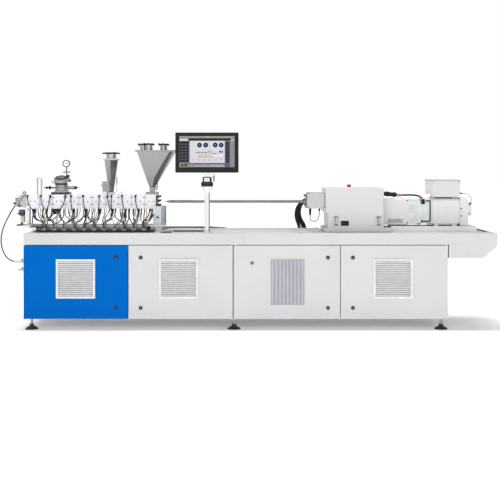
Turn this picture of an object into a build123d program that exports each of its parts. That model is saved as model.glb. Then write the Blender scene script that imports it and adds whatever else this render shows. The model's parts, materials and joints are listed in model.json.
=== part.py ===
"""Laboratory twin-screw extruder with its barrel drawn back off the two screws, in millimetres.

X runs along the machine, from the die at the left to the motor at the right. Y runs into depth, with the
doors at the front on -Y. Z is up from the floor, and the origin lies on the floor under the middle.
"""

from build123d import *
from math import acos, cos, pi, sin, tan
import os

# Cabinet
CABINET_LEFT = -1871.0
CABINET_LENGTH = 3506.0
CABINET_DEPTH = 800.0
CABINET_BOTTOM = 86.0
DECK_TOP = 797.0
SKIRT_HEIGHT = 94.0
DECK_OVERHANG = 408.0
BRACKET_GAP = 7.0
BRACKET_INSET = 2.0
BRACKET_DROP = 112.0
BRACKET_CHAMFER = (117.0, 99.0)
SHEET = 3.0
DECK_SHEET = 6.0
BASE_HEIGHT = 40.0
TUBE = 40.0

# Doors
CENTRE_SPLIT = -138.0
LEFT_DOOR_WIDTH = 866.0
RIGHT_DOOR_WIDTH = 889.0
DOOR_THICK = 18.0
DOOR_RIM = 22.0
DOOR_SKIN = 2.0
DOOR_GAP = 6.0
CENTRE_GAP = 10.0
HINGE_EDGE_RADIUS = 4.0
PIN_RADIUS = 5.0
PIN_PLAY = 0.06
PIN_LENGTH = 16.0
LUG_THICK = 4.0
LUG_HALF_WIDTH = 7.0
DOOR_TO_POST = 10.0
LATCH_RADIUS = 13.5
LATCH_DEPTH = 6.0
LATCH_HIGH = 597.0
LATCH_LOW = 182.0
LATCH_FROM_EDGE = 100.0
FACE_SEAT = 0.3

# Filter grilles and the slotted vent
GRILLE_SIZE = 323.0
GRILLE_RIM = 17.0
GRILLE_DEPTH = 8.0
GRILLE_HEIGHT = 422.0
LOUVRES = 17
LOUVRE_THICK = 2.5
LOUVRE_SLOPE = 40.0
LOUVRE_SHARE = 0.48
GRILLE_OFFSETS = (0.0, -16.5, None, -11.5)
VENT_OFFSET = 5.0
VENT_WIDTH = 285.0
VENT_HEIGHT = 379.0
VENT_MIDDLE = 394.0
VENT_DEPTH = 4.0
VENT_SLOTS = 16
VENT_ROWS = 3
VENT_SLOT_WIDTH = 7.0
VENT_RIM = 14.0

# Feet
FOOT_FROM_LEFT = 58.0
FOOT_FROM_SPLIT = 5.0
FOOT_FROM_RIGHT = 49.0
FOOT_RADIUS = 54.0
FOOT_CONE = 30.0
FOOT_NECK = 17.0
FOOT_STEM = 11.0
FOOT_INSET = 60.0
FOOT_NUT = 18.0

# Screws and the barrel that runs over them
SCREW_DIAMETER = 28.3
SCREW_DISTANCE = 23.85
SCREW_AXIS_HEIGHT = 1049.0
MESH_GAP = 0.6
BARREL_GAP = 0.65
FLIGHT_LEAD = 56.0
STEPS_PER_TURN = 8
TIP_LENGTH = 34.0
TIP_END_SHARE = 0.12
SHANK_LENGTH = 150.0
BARREL_COUNT = 10
BARREL_LENGTH = 4 * SCREW_DIAMETER
BARREL_JOINT = 0.3
BARREL_BLOCK = 92.0
FLANGE_SIZE = 116.0
FLANGE_THICK = 13.0
COVER_SHEET = 2.0
COVER_GAP = 5.0
COVER_DROP = 96.0
FEED_PORT = 34.0
VENT_PORT = 24.0
PORT_WALL = 5.0
PORT_CLEARANCE = 4.0

# Where the carriage stands, and how far it runs in over the screws
BARREL_RIGHT = -791.0
NECK_FACE = 476.0
RUN_IN_CLEARANCE = 5.0
SCREW_TIP = -735.0
TIP_CLEARANCE = 5.0
CARRIAGE_TRAVEL = NECK_FACE - RUN_IN_CLEARANCE - BARREL_RIGHT

# Guide rails and carriage
RAIL_OFFSET = 135.0
RAIL_WIDTH = 24.0
RAIL_HEIGHT = 15.0
RAIL_LEFT = -1850.0
RAIL_RIGHT = 600.0
TIE_AT = -440.0
TIE_WIDTH = 20.0
TIE_HEIGHT = 3.0
SLIDE_CLEARANCE = 5.0
RUNNER_LENGTH = 130.0
RUNNER_WIDTH = 50.0
RUNNER_HEIGHT = 26.0
RUNNER_PLAY = 0.3
RUNNER_FROM_LEFT = 90.0
RUNNER_FROM_RIGHT = 20.0
PLATE_THICK = 14.0
PLATE_FRONT = -178.0
PLATE_BACK = 128.0
COLUMN_LEFT = -830.0
COLUMN_WIDTH = 99.0
CHEEK_INNER = 70.0
CHEEK_THICK = 22.0
NECK_HALF = 56.0
LEG_X = -1913.5
LEG_WIDTH = 27.0
LEG_DEPTH = 60.0
TRAY_LEFT = -1815.0
TRAY_LENGTH = 1010.0
TRAY_FRONT = -292.0
TRAY_SHEET = 4.0
TRAY_CLEARANCE = 6.0
COLLAR_COUNT = 11
COLLAR_ROW = -250.0
COLLAR_PITCH = 84.0
COLLAR_RADIUS = 39.0
COLLAR_HEIGHT = 8.0
BOOT_RADIUS = 18.0
BOOT_TOP_RADIUS = 13.0
BOOT_HEIGHT = 11.0
PLUG_HALF = 15.0
PLUG_ROW = -26.0
PLUG_DROP = 30.0
LEAD_RADIUS = 7.0
LEAD_COLLARS = (0, 1, 2, 3, 4, 5, 6, 8, 9, 10)
LEAD_ROUTE = [
    (0.0, -26.0, 942.0),
    (0.12, -48.0, 914.0),
    (0.35, -90.0, 897.0),
    (0.62, -142.0, 889.0),
    (0.85, -194.0, 883.0),
    (0.97, -234.0, 869.0),
    (1.0, -250.0, 846.0),
]
SENSOR_SPOTS = (
    -1911.0, -1796.0, -1715.0, -1586.0, -1537.0, -1433.0, -1294.0, -1223.0, -1191.0, -1099.0, -983.0
)
SENSOR_HEIGHT = 1097.0
SENSOR_KNOB = 7.0
SENSOR_REACH = 18.0
SENSOR_LEAD = 3.5
SENSOR_ENTRY = 9.0
SENSOR_ROUTE = [
    (0.0, -70.0, 1093.0),
    (0.1, -72.0, 1058.0),
    (0.35, -75.0, 1026.0),
    (0.65, -74.0, 1004.0),
    (0.9, -64.0, 988.0),
    (1.0, -42.4, 984.0),
]
PIPE_LEFT = -1850.0
PIPE_RADIUS = 13.0
PIPE_LENGTH = 130.0
ARCH_RADIUS = 7.0
ARCH_WIDTH = 34.0
ARCH_TOP = 1252.0
ARCH_FROM_VENT = 189.0

# Die head and melt sensor
ADAPTER_LENGTH = 40.0
DIE_LENGTH = 58.0
DIE_RADIUS = 50.0
DIE_OUTLET_RADIUS = 6.0
SENSOR_RADIUS = 9.0
KNOB_RADIUS = 13.0
SENSOR_TOP = (-1931.0, -70.3, 1127.0)

# Drain valve on its shelf under the die
VALVE_BODY_X = -1972.0
VALVE_BODY_RADIUS = 30.0
VALVE_BODY_BOTTOM = 925.0
VALVE_BODY_HEIGHT = 54.0
VALVE_BODY_EDGE = 8.0
VALVE_COLUMN_RADIUS = 12.0
SHELF_LEFT = -2010.0
SHELF_HALF_DEPTH = 36.0

# Vacuum vent
VENT_X = -1631.0
VENT_BASE = (158.0, 110.0, 18.0)
VENT_COLLAR = (110.0, 96.0, 16.0)
VENT_BODY_RADIUS = 51.0
VENT_BODY_HEIGHT = 86.0
VENT_TILT = 20.0
VENT_LID_RADIUS = 62.0
VENT_LID_THICK = 24.0
VENT_LID_EDGE = 6.0
VENT_GLASS_RADIUS = 40.0
VENT_GLASS_RIM = 4.0
VENT_CLAMP_RADIUS = 11.0
VENT_CLAMP_HEIGHT = 40.0
VENT_NOZZLE_LIFT = 24.0
VENT_LEFT_NOZZLE = ((86.0, 7.0), (98.0, 20.0), (112.0, 8.0), (149.0, 5.0))
VENT_RIGHT_NOZZLE = (
    (50.0, 20.0), (82.0, 12.0), (94.0, 12.0), (94.0, 16.5), (114.0, 16.5), (114.0, 8.0), (160.0, 3.0)
)
GAUGE_OFFSET = (40.0, 26.0)
GAUGE_BOSS_RADIUS = 7.0
GAUGE_BOSS_HEIGHT = 6.0
GAUGE_STEM = 5.0
GAUGE_RADIUS = 30.0
GAUGE_DEPTH = 28.0
GAUGE_RISE = 106.0
GAUGE_CROSS_LIFT = 32.0
GAUGE_CROSS_LENGTH = 64.0

# Side hopper, turned 45 degrees, and the main hopper
SIDE_HOPPER_X = -1200.0
SIDE_TOP_WIDTH = 82.0
SIDE_BOTTOM_WIDTH = 30.0
SIDE_TOP = 1405.0
SIDE_FOOT = 1130.0
SIDE_WALL = 2.5
SIDE_NECK = 60.0
SIDE_LID = 106.0
SIDE_LID_THICK = 14.0
SIDE_COLLAR_HEIGHT = 38.0
SIDE_RIM_HEIGHT = 16.0
CAP_REACH = 92.0
CAP_HALF_DEPTH = 45.0
CAP_HEIGHT = 25.0
GATE_SIZE = (56.0, 40.0, 88.0)
GATE_OFFSET = (-68.0, -64.0)
GATE_KNOB_RADIUS = 7.0
GATE_KNOB_REACH = 16.0
GATE_ROD_X = -1148.0
GATE_ROD_Y = -30.0
GATE_ROD_RADIUS = 3.0
GATE_ROD_TOP = 1260.0
GATE_SLEEVE_RADIUS = 5.0
GATE_SLEEVE_LENGTH = 60.0
MAIN_HOPPER_X = -844.0
MAIN_TOP = 1476.0
MAIN_TOP_LEFT = -961.0
MAIN_TOP_RIGHT = -656.0
MAIN_HALF_DEPTH = 155.0
MAIN_NECK = 46.0
MAIN_NECK_TOP = 1168.0
MAIN_NECK_BOTTOM = 1126.0
MAIN_FLANGE_HALF = 52.0
MAIN_WALL = 3.0
MAIN_LID_EDGE = 16.0
MAIN_LID_THICK = 13.0
SPIGOT_RADIUS = 30.0
SPIGOT_WALL = 3.0
SPIGOT_RIM = 4.0
SPIGOT_RIM_HEIGHT = 12.0
SPIGOT_HEIGHT = 58.0
SPIGOT_COLLAR = 4.0
SPIGOT_PLAY = 0.2
SPIGOT_SPOTS = ((-925.0, 40.0), (-866.0, -70.0), (-745.0, 0.0))

# Gearbox, coupling and motor
COVER_LEFT = 634.0
COVER_RIGHT = 1127.0
COVER_HALF_DEPTH = 240.0
COVER_TOP = 1170.0
COVER_RADIUS = 12.0
COVER_FOOT = 35.0
COVER_STEP = 20.0
COVER_STEP_TOP = 961.0
BASE_PLATE_REACH = 8.0
SHADOW_GAP = 4.0
SHADOW_INSET = 14.0
HANDLE_RADIUS = 5.0
HANDLE_SPAN = 76.0
HANDLE_REACH = 30.0
HANDLE_BEND = 12.0
HANDLE_TRAY = 48.0
HANDLE_RIM = 6.0
HANDLE_WALL = 4.0
HANDLE_SPOTS = (723.0, 1082.0)
HANDLE_LIFT = 59.0
LANTERN_LENGTH = 222.0
LANTERN_HALF = 111.0
LANTERN_WALL = 12.0
LANTERN_CORNER = 14.0
WINDOW_FROM_LEFT = 44.0
WINDOW_LENGTH = 136.0
WINDOW_LOW = -97.0
WINDOW_HIGH = -61.0
CLUTCH_LENGTH = 94.0
CLUTCH_HALF = 104.0
CLUTCH_BEVEL = 10.0
CLUTCH_RIM = 12.0
GROOVE_COUNT = 6
GROOVE_LOWEST = -12.0
GROOVE_PITCH = 14.0
GROOVE_WIDTH = 6.0
GROOVE_DEPTH = 7.0
POCKET_SIZE = (52.0, 12.0, 42.0)
POCKET_MIDDLE = -53.0
FLANGE_PLATES = 102.0
FLANGE_PLATE_THICK = 16.0
FLANGE_PLATE_HALF = 112.0
FLANGE_CORE_HALF = 101.0
MOTOR_LENGTH = 249.0
MOTOR_HALF = 112.0
MOTOR_BEVEL = 16.0
MOTOR_SHIELD = 16.0
MOTOR_SHIELD_STEP = 4.0
MOTOR_FOOT_INSET = 26.0
MOTOR_FOOT_WIDTH = 40.0
FAN_COVER_LENGTH = 68.0
FAN_COVER_HALF = 118.0
FAN_COVER_CORNER = 28.0
CONNECTOR_BLOCK = (28.0, 58.0, 106.0)
CONNECTOR_LIFT = -34.0
CONNECTOR_KNOB = 8.0
CONNECTOR_REACH = 16.0
CONNECTOR_INSET = 15.0
TERMINAL_BOX = (236.0, 376.0, 128.0)
TERMINAL_FRONT = -150.0
TERMINAL_LIFT = 36.0
TERMINAL_OFFSET = 6.0
TERMINAL_CORNER = 8.0
STAND_INSET = 50.0
STAND_HALF_DEPTH = 60.0
PLINTH_LEFT = 1204.0
PLINTH_RIGHT = 1930.0
PLINTH_HALF_DEPTH = 130.0
PLINTH_HEIGHT = 45.0
PLINTH_GAP = 4.0

# Cables along the drive
LOOM_RADIUS = 8.0
LOOM_ROUTE = [
    (COVER_RIGHT, -60.0, 1118.0),
    (1158.0, -60.0, 1118.0),
    (1198.0, -62.0, 1109.0),
    (1290.0, -70.0, 1104.0),
    (1352.0, -84.0, 1107.0),
    (1412.0, -104.0, 1106.0),
    (1452.0, -119.0, 1094.0),
    (1474.0, -124.0, 1070.0),
]
LOOM_PLUG_RADIUS = 21.0
LOOM_PLUG_SHARES = (0.05, 0.98)
ELBOW_SIZE = (26.0, 28.0, 42.0)
ELBOW_LEFT = 1462.0
ELBOW_BOTTOM = 1030.0
SUPPLY_RADIUS = 5.0
SUPPLY_X = 1537.0
SUPPLY_TOP = 1056.0
SUPPLY_FOOT = 882.0
SUPPLY_LEFT = 1478.0
SUPPLY_BEND = 16.0
UNDER_BOX_RADIUS = 4.0
UNDER_BOX_ROW = -98.0
UNDER_BOX_HEIGHT = 1088.0
UNDER_BOX_BEND = 14.0
ENCODER_RADIUS = 3.0
ENCODER_SEAT = 1.0
ENCODER_ROUTE = [
    (1818.0, -118.0, 1121.0),
    (1856.0, -120.0, 1114.0),
    (1884.0, -124.0, 1090.0),
    (1889.0, -126.0, 1058.0),
]

# Junction box, conduits and monitor
JUNCTION_LEFT = 480.0
JUNCTION_HEIGHT = 995.0
JUNCTION_SIZE = (148.0, 100.0, 140.0)
JUNCTION_FRONT = -232.0
JUNCTION_CORNER = 6.0
JUNCTION_GLANDS = (34.0, 74.0, 112.0)
JUNCTION_GLAND_RADIUS = 9.0
JUNCTION_GLAND_REACH = 20.0
JUNCTION_BRACKET = (20.0, 30.0, 110.0)
CONDUIT_RADIUS = 15.0
CONDUIT_ROWS = (182.0, 213.0)
CONDUIT_FOOT = 434.0
CONDUIT_PLATE = (122.0, 62.0, 5.0)
CONDUIT_ROUTE = [
    (COVER_LEFT, 1080.0),
    (588.0, 1080.0),
    (528.0, 1076.0),
    (470.0, 1052.0),
    (424.0, 1006.0),
    (404.0, 944.0),
    (410.0, 886.0),
    (428.0, 842.0),
    (434.0, 822.0),
]
CONDUIT_SPREAD = (0.0, 0.0, 4.0, 12.0, 22.0, 30.0, 38.0, 48.0, 50.0, 50.0)
POST_X = -356.0
POST_Y = -350.0
POST_RADIUS = 22.0
POST_FLANGE = 35.0
POST_FLANGE_THICK = 12.0
CONE_RADIUS = 46.0
RING_RADIUS = 49.0
COUPLING_RADIUS = 38.0
SPINDLE_RADIUS = 12.0
CONE_BOTTOM = 1131.0
CONE_TOP = 1183.0
RING_TOP = 1220.0
COUPLING_TOP = 1262.0
FORK_LEFT = 50.0
FORK_RIGHT = 58.0
FORK_HALF_DEPTH = 30.0
FORK_CHAMFER = 14.0
MONITOR_BOTTOM = 1298.0
MONITOR_WIDTH = 523.0
MONITOR_HEIGHT = 332.0
MONITOR_THICK = 42.0
MONITOR_CENTRE_Y = -362.0
MONITOR_BACK_CHAMFER = 10.0
MONITOR_CORNER = 8.0
BEZEL_SIDE = 32.0
BEZEL_TOP = 30.0
BEZEL_CHIN = 44.0
SCREEN_THICK = 3.0

# Water valves on the cabinet's left end, and the hose from the melt sensor to the upper one
VALVE_HEIGHTS = (560.0, 492.0)
VALVE_Y = -358.0
VALVE_RADIUS = 11.0
VALVE_LENGTH = 49.0
VALVE_STEM = 26.0
HOSE_RADIUS = 6.5
HOSE_LEAD = 48.0
HOSE_ROUTE = [
    (-2007.0, -70.3, 1024.0),
    (-2058.0, -122.0, 926.0),
    (-2074.0, -194.0, 864.0),
    (-2084.0, -252.0, 796.0),
    (-2079.0, -304.0, 718.0),
    (-2054.0, -340.0, 642.0),
    (-2012.0, -354.0, 586.0),
    (-1966.0, -358.0, 560.0),
    (-1920.0, -358.0, 560.0),
]

CABINET_RIGHT = CABINET_LEFT + CABINET_LENGTH
LEFT_SPLIT = CABINET_LEFT + LEFT_DOOR_WIDTH
RIGHT_SPLIT = CABINET_RIGHT - RIGHT_DOOR_WIDTH
DECK_RIGHT = CABINET_RIGHT + DECK_OVERHANG
FRONT = -CABINET_DEPTH / 2
BACK = CABINET_DEPTH / 2
SKIRT_BOTTOM = DECK_TOP - SKIRT_HEIGHT
BARREL_LEFT = BARREL_RIGHT - BARREL_COUNT * BARREL_LENGTH
POST_FRONT = FRONT + DOOR_THICK + DOOR_TO_POST
RAIL_TOP = DECK_TOP + RAIL_HEIGHT
PLATE_BOTTOM = RAIL_TOP + RUNNER_HEIGHT - RUNNER_PLAY
PLATE_TOP = PLATE_BOTTOM + PLATE_THICK
AXIS = SCREW_AXIS_HEIGHT
BARREL_TOP = AXIS + FLANGE_SIZE / 2 + COVER_SHEET
SHAFT_HEIGHT = DECK_TOP + PLINTH_HEIGHT + PLINTH_GAP + max(LANTERN_HALF, MOTOR_HALF, FAN_COVER_HALF)
HANDLE_HEIGHT = DECK_TOP + COVER_FOOT + HANDLE_LIFT

nodes = {}


def block(low, high):
    """A box from its lowest to its highest corner."""
    size = [h - l for l, h in zip(low, high)]
    middle = [(h + l) / 2 for l, h in zip(low, high)]
    return Pos(*middle) * Box(*size)


def rod(start, axis, radius, length):
    """A round bar that starts at a point and runs along X, Y or Z, backwards if its length is negative."""
    turned = {"X": (0, 90, 0), "Y": (-90, 0, 0), "Z": (0, 0, 0)}[axis]
    along = {"X": (1, 0, 0), "Y": (0, 1, 0), "Z": (0, 0, 1)}[axis]
    middle = [s + a * length / 2 for s, a in zip(start, along)]
    return Pos(*middle) * Rot(*turned) * Cylinder(radius, abs(length))


def solids_of(pieces):
    """One node of several solids that stand apart."""
    return Compound(children=[s for piece in pieces for s in piece.solids()])


def tube_along(points, radius, name):
    """A free cord as straight runs joined by arcs as large as their runs allow."""
    runs = [Vector(*b) - Vector(*a) for a, b in zip(points, points[1:])]
    radii = []
    for before, after in zip(runs, runs[1:]):
        half_turn = before.get_angle(after) * pi / 360
        radii.append(0.45 * min(before.length, after.length) / tan(half_turn))
    print(name, "arc radii", [round(r) for r in radii])
    path = FilletPolyline(*points, radius=radii)
    section = Plane(origin=path @ 0, z_dir=path % 0) * Circle(radius)
    return sweep(section, path=path)


def bent_rod(points, radius, bend):
    """A held lead or a bent bar: straight runs with one bend radius."""
    path = FilletPolyline(*points, radius=bend)
    section = Plane(origin=path @ 0, z_dir=path % 0) * Circle(radius)
    return sweep(section, path=path)


# Cabinet


def cabinet_base():
    base = block(
        (CABINET_LEFT + SHEET, POST_FRONT, CABINET_BOTTOM),
        (CABINET_RIGHT - SHEET, BACK - SHEET, CABINET_BOTTOM + BASE_HEIGHT),
    )
    for x in hinge_axes():
        base += hinge_lug(x, CABINET_BOTTOM, 1)
    return base


def cabinet_posts():
    posts = []
    for x in post_centres():
        for low_y in (POST_FRONT, BACK - SHEET - TUBE):
            posts.append(
                block(
                    (x - TUBE / 2, low_y, CABINET_BOTTOM + BASE_HEIGHT),
                    (x + TUBE / 2, low_y + TUBE, SKIRT_BOTTOM - TUBE),
                )
            )
    return solids_of(posts)


def post_centres():
    return (CABINET_LEFT + SHEET + TUBE / 2, CENTRE_SPLIT, CABINET_RIGHT - SHEET - TUBE / 2)


def cabinet_top_frame():
    low = (CABINET_LEFT + SHEET, POST_FRONT, SKIRT_BOTTOM - TUBE)
    high = (CABINET_RIGHT - SHEET, BACK - SHEET, SKIRT_BOTTOM)
    frame = block(low, high)
    for left, right in zip(post_centres(), post_centres()[1:]):
        frame -= block(
            (left + TUBE / 2, POST_FRONT + TUBE, SKIRT_BOTTOM - 2 * TUBE),
            (right - TUBE / 2, BACK - SHEET - TUBE, DECK_TOP),
        )
    for x in hinge_axes():
        frame += hinge_lug(x, SKIRT_BOTTOM, -1)
    return frame


def hinge_lug(x, z, up):
    """A plate that reaches out from the frame with a pivot pin for one corner of a door."""
    y = FRONT + DOOR_THICK / 2
    low, high = sorted((z, z + up * LUG_THICK))
    lug = block(
        (x - LUG_HALF_WIDTH, y - DOOR_THICK / 2, low),
        (x + LUG_HALF_WIDTH, POST_FRONT + TUBE / 2, high),
    )
    return lug + rod((x, y, z), "Z", PIN_RADIUS, up * (LUG_THICK + PIN_LENGTH))


def cabinet_panels():
    inner = (CABINET_BOTTOM, SKIRT_BOTTOM)
    sides = [
        block((x, POST_FRONT, inner[0]), (x + SHEET, BACK - SHEET, inner[1]))
        for x in (CABINET_LEFT, CABINET_RIGHT - SHEET)
    ]
    edge = SHEET + FACE_SEAT
    backs = [
        block((left, BACK - SHEET, inner[0]), (right, BACK, inner[1]))
        for left, right in (
            (CABINET_LEFT + edge, CENTRE_SPLIT - DOOR_GAP / 2),
            (CENTRE_SPLIT + DOOR_GAP / 2, CABINET_RIGHT - edge),
        )
    ]
    return solids_of(sides + backs)


def bench_deck():
    deck = block((CABINET_LEFT, FRONT, SKIRT_BOTTOM), (DECK_RIGHT, BACK, DECK_TOP))
    deck -= block(
        (CABINET_LEFT + SHEET, FRONT + SHEET, SKIRT_BOTTOM - 1),
        (DECK_RIGHT - SHEET, BACK - SHEET, DECK_TOP - DECK_SHEET),
    )
    return deck


def end_bracket():
    """The sheet-metal box under the deck's overhang, with its sloping outer end."""
    left, right = CABINET_RIGHT + BRACKET_GAP, DECK_RIGHT - BRACKET_INSET
    bottom = SKIRT_BOTTOM - BRACKET_DROP
    chamfer_foot, chamfer_top = right - BRACKET_CHAMFER[0], bottom + BRACKET_CHAMFER[1]
    outline = Polyline(
        (left, SKIRT_BOTTOM),
        (left, bottom),
        (chamfer_foot, bottom),
        (right, chamfer_top),
        (right, SKIRT_BOTTOM),
        close=True,
    )
    side = Plane.XZ.offset(-FRONT - BRACKET_INSET) * make_face(outline)
    return extrude(side, -(CABINET_DEPTH - 2 * BRACKET_INSET))


def levelling_feet():
    feet = []
    for x in (
        CABINET_LEFT + FOOT_FROM_LEFT,
        CENTRE_SPLIT + FOOT_FROM_SPLIT,
        CABINET_RIGHT - FOOT_FROM_RIGHT,
    ):
        for y in (FRONT + FOOT_INSET, BACK - FOOT_INSET):
            profile = Polyline(
                (0, 0),
                (FOOT_RADIUS, 0),
                (FOOT_RADIUS, 7),
                (FOOT_NECK, FOOT_CONE),
                (FOOT_NECK, FOOT_CONE + FOOT_NUT),
                (FOOT_STEM, FOOT_CONE + FOOT_NUT),
                (FOOT_STEM, CABINET_BOTTOM),
                (0, CABINET_BOTTOM),
                close=True,
            )
            foot = revolve(Plane.XZ * make_face(profile), Axis.Z)
            feet.append(Pos(x, y, 0) * foot)
    return solids_of(feet)


# Doors


def doors():
    """Left edge, right edge and hinge side of the four doors, from left to right."""
    edge, gap, centre = 1.0, DOOR_GAP / 2, CENTRE_GAP / 2
    return [
        (CABINET_LEFT + edge, LEFT_SPLIT - gap, -1),
        (LEFT_SPLIT + gap, CENTRE_SPLIT - centre, 1),
        (CENTRE_SPLIT + centre, RIGHT_SPLIT - gap, -1),
        (RIGHT_SPLIT + gap, CABINET_RIGHT - edge, 1),
    ]


def hinge_axes():
    return [(left if side < 0 else right) - side * DOOR_THICK / 2 for left, right, side in doors()]


def door(number):
    left, right, side = doors()[number]
    bottom = CABINET_BOTTOM + LUG_THICK + 2
    top = SKIRT_BOTTOM - LUG_THICK - 2
    y = FRONT + DOOR_THICK / 2
    leaf = block((left, FRONT, bottom), (right, FRONT + DOOR_THICK, top))
    hinge_edge = left if side < 0 else right
    upright = [e for e in leaf.edges().filter_by(Axis.Z) if abs(e.center().X - hinge_edge) < 0.1]
    leaf = fillet(upright, HINGE_EDGE_RADIUS)
    leaf -= block(
        (left + DOOR_RIM, FRONT + DOOR_SKIN, bottom + DOOR_RIM),
        (right - DOOR_RIM, FRONT + DOOR_THICK + 1, top - DOOR_RIM),
    )
    axis_x = hinge_axes()[number]
    for z, up in ((bottom - 1, 1), (top + 1, -1)):
        leaf -= rod((axis_x, y, z), "Z", PIN_RADIUS + PIN_PLAY, up * (PIN_LENGTH + 1))
    leaf -= opening_in(number)
    latch_x = right - LATCH_FROM_EDGE if side < 0 else left + LATCH_FROM_EDGE
    for z in (LATCH_LOW, LATCH_HIGH):
        leaf += rod((latch_x, FRONT + DOOR_SKIN, z), "Y", LATCH_RADIUS, -(LATCH_DEPTH + DOOR_SKIN))
    return leaf


def grille_middle(number):
    """The middle of a door's grille, or of the slotted vent, along X."""
    left, right, _ = doors()[number]
    offset = VENT_OFFSET if GRILLE_OFFSETS[number] is None else GRILLE_OFFSETS[number]
    return (left + right) / 2 + offset


def opening_in(number):
    """The hole in a door's skin behind its grille or vent."""
    x = grille_middle(number)
    if GRILLE_OFFSETS[number] is None:
        half_w, half_h = VENT_WIDTH / 2 - VENT_RIM, VENT_HEIGHT / 2 - VENT_RIM
        z = VENT_MIDDLE
    else:
        half_w = half_h = GRILLE_SIZE / 2 - GRILLE_RIM
        z = GRILLE_HEIGHT
    return block((x - half_w, FRONT - 1, z - half_h), (x + half_w, FRONT + DOOR_SKIN + 1, z + half_h))


def grille(number):
    """A square filter grille: a rim with sloping louvres, seated on the door's face."""
    x, z, half = grille_middle(number), GRILLE_HEIGHT, GRILLE_SIZE / 2
    inner = half - GRILLE_RIM
    rim = block((x - half, FRONT - GRILLE_DEPTH, z - half), (x + half, FRONT, z + half))
    rim -= block((x - inner, FRONT - 2 * GRILLE_DEPTH, z - inner), (x + inner, FRONT + 1, z + inner))
    pitch = 2 * inner / LOUVRES
    blade = Rot(LOUVRE_SLOPE, 0, 0) * Box(2 * inner + 2, LOUVRE_THICK, pitch * LOUVRE_SHARE)
    for i in range(LOUVRES):
        rim += Pos(x, FRONT - GRILLE_DEPTH / 2, z - inner + (i + 0.5) * pitch) * blade
    return rim


def slotted_vent(number):
    """A pressed plate with rows of upright slots."""
    middle = grille_middle(number)
    half_w, half_h = VENT_WIDTH / 2, VENT_HEIGHT / 2
    plate = block(
        (middle - half_w, FRONT - VENT_DEPTH, VENT_MIDDLE - half_h),
        (middle + half_w, FRONT, VENT_MIDDLE + half_h),
    )
    pitch_x = (VENT_WIDTH - 2 * VENT_RIM) / VENT_SLOTS
    pitch_z = (VENT_HEIGHT - 2 * VENT_RIM) / VENT_ROWS
    slot = Box(VENT_SLOT_WIDTH, 4 * VENT_DEPTH, pitch_z - VENT_RIM)
    for column in range(VENT_SLOTS):
        for row in range(VENT_ROWS):
            x = middle - half_w + VENT_RIM + (column + 0.5) * pitch_x
            z = VENT_MIDDLE - half_h + VENT_RIM + (row + 0.5) * pitch_z
            plate -= Pos(x, FRONT, z) * slot
    return plate


# Screws


def at(radius, angle):
    return (radius * cos(angle), radius * sin(angle))


def lobed_corners(phase):
    """Corners of the two-flight self-wiping profile: its tips lie on the outer circle, its roots on the circle
    that the other screw's tips sweep."""
    outer = SCREW_DIAMETER / 2
    distance = SCREW_DISTANCE - MESH_GAP
    tip = pi / 2 - 2 * acos(distance / (2 * outer))
    root = distance - outer
    corners = []
    for turn in (0, pi):
        for radius, middle in ((outer, turn), (root, turn + pi / 2)):
            corners += [at(radius, phase + middle - tip / 2), at(radius, phase + middle + tip / 2)]
    return corners


def screw(y, phase):
    """One screw: a shank in the gearbox neck, helical flights, and a pointed tip at its left end."""
    start = NECK_FACE + SHANK_LENGTH
    length = start - SHANK_LENGTH - (SCREW_TIP + TIP_LENGTH)
    sections = round(length / FLIGHT_LEAD * STEPS_PER_TURN)
    step_turn = 2 * pi / STEPS_PER_TURN
    wires = []
    for i in range(sections + 1):
        x = start - SHANK_LENGTH - length * i / sections
        corners = [(x, y + a, AXIS + b) for a, b in lobed_corners(phase + i * step_turn)]
        wires.append(Wire(Polyline(*corners, close=True).edges()))
    flights = Solid.make_loft(wires, ruled=True)
    root = SCREW_DISTANCE - MESH_GAP - SCREW_DIAMETER / 2
    shank = rod((start - SHANK_LENGTH, y, AXIS), "X", root, SHANK_LENGTH - 1)
    tip_middle = Pos(SCREW_TIP + TIP_LENGTH / 2, y, AXIS)
    tip = tip_middle * Rot(0, 90, 0) * Cone(root * TIP_END_SHARE, root, TIP_LENGTH)
    return flights + shank + tip


# Barrel unit on its carriage


def figure_eight(x_low, x_high):
    radius = SCREW_DIAMETER / 2 + BARREL_GAP
    bore = None
    for y in (-SCREW_DISTANCE / 2, SCREW_DISTANCE / 2):
        hole = rod((x_low, y, AXIS), "X", radius, x_high - x_low)
        bore = hole if bore is None else bore + hole
    return bore


def barrel(number):
    """One barrel: a block with a flange at each end, bored for both screws, with a port where one is fed."""
    left = BARREL_LEFT + number * BARREL_LENGTH + BARREL_JOINT / 2
    right = left + BARREL_LENGTH - BARREL_JOINT
    half, rim = BARREL_BLOCK / 2, FLANGE_SIZE / 2
    body = block((left, -half, AXIS - half), (right, half, AXIS + half))
    for x in (left, right - FLANGE_THICK):
        body += block((x, -rim, AXIS - rim), (x + FLANGE_THICK, rim, AXIS + rim))
    body -= figure_eight(left - 1, right + 1)
    for x, width in ports():
        if left < x < right:
            body -= block((x - width / 2, -width / 2, AXIS), (x + width / 2, width / 2, BARREL_TOP + 1))
    return body


def ports():
    """Place and width of the square ports in the barrels' tops."""
    return ((VENT_X, VENT_PORT), (SIDE_HOPPER_X, VENT_PORT), (MAIN_HOPPER_X, FEED_PORT))


def port_tube(x, width, top):
    """The square tube that stands on a barrel around its port, through the cover."""
    half = width / 2
    outer = half + PORT_WALL
    foot = AXIS + BARREL_BLOCK / 2
    tube = block((x - outer, -outer, foot), (x + outer, outer, top))
    return tube - block((x - half, -half, foot - 1), (x + half, half, top + 1))


def barrels():
    return solids_of([barrel(i) for i in range(BARREL_COUNT)])


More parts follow.
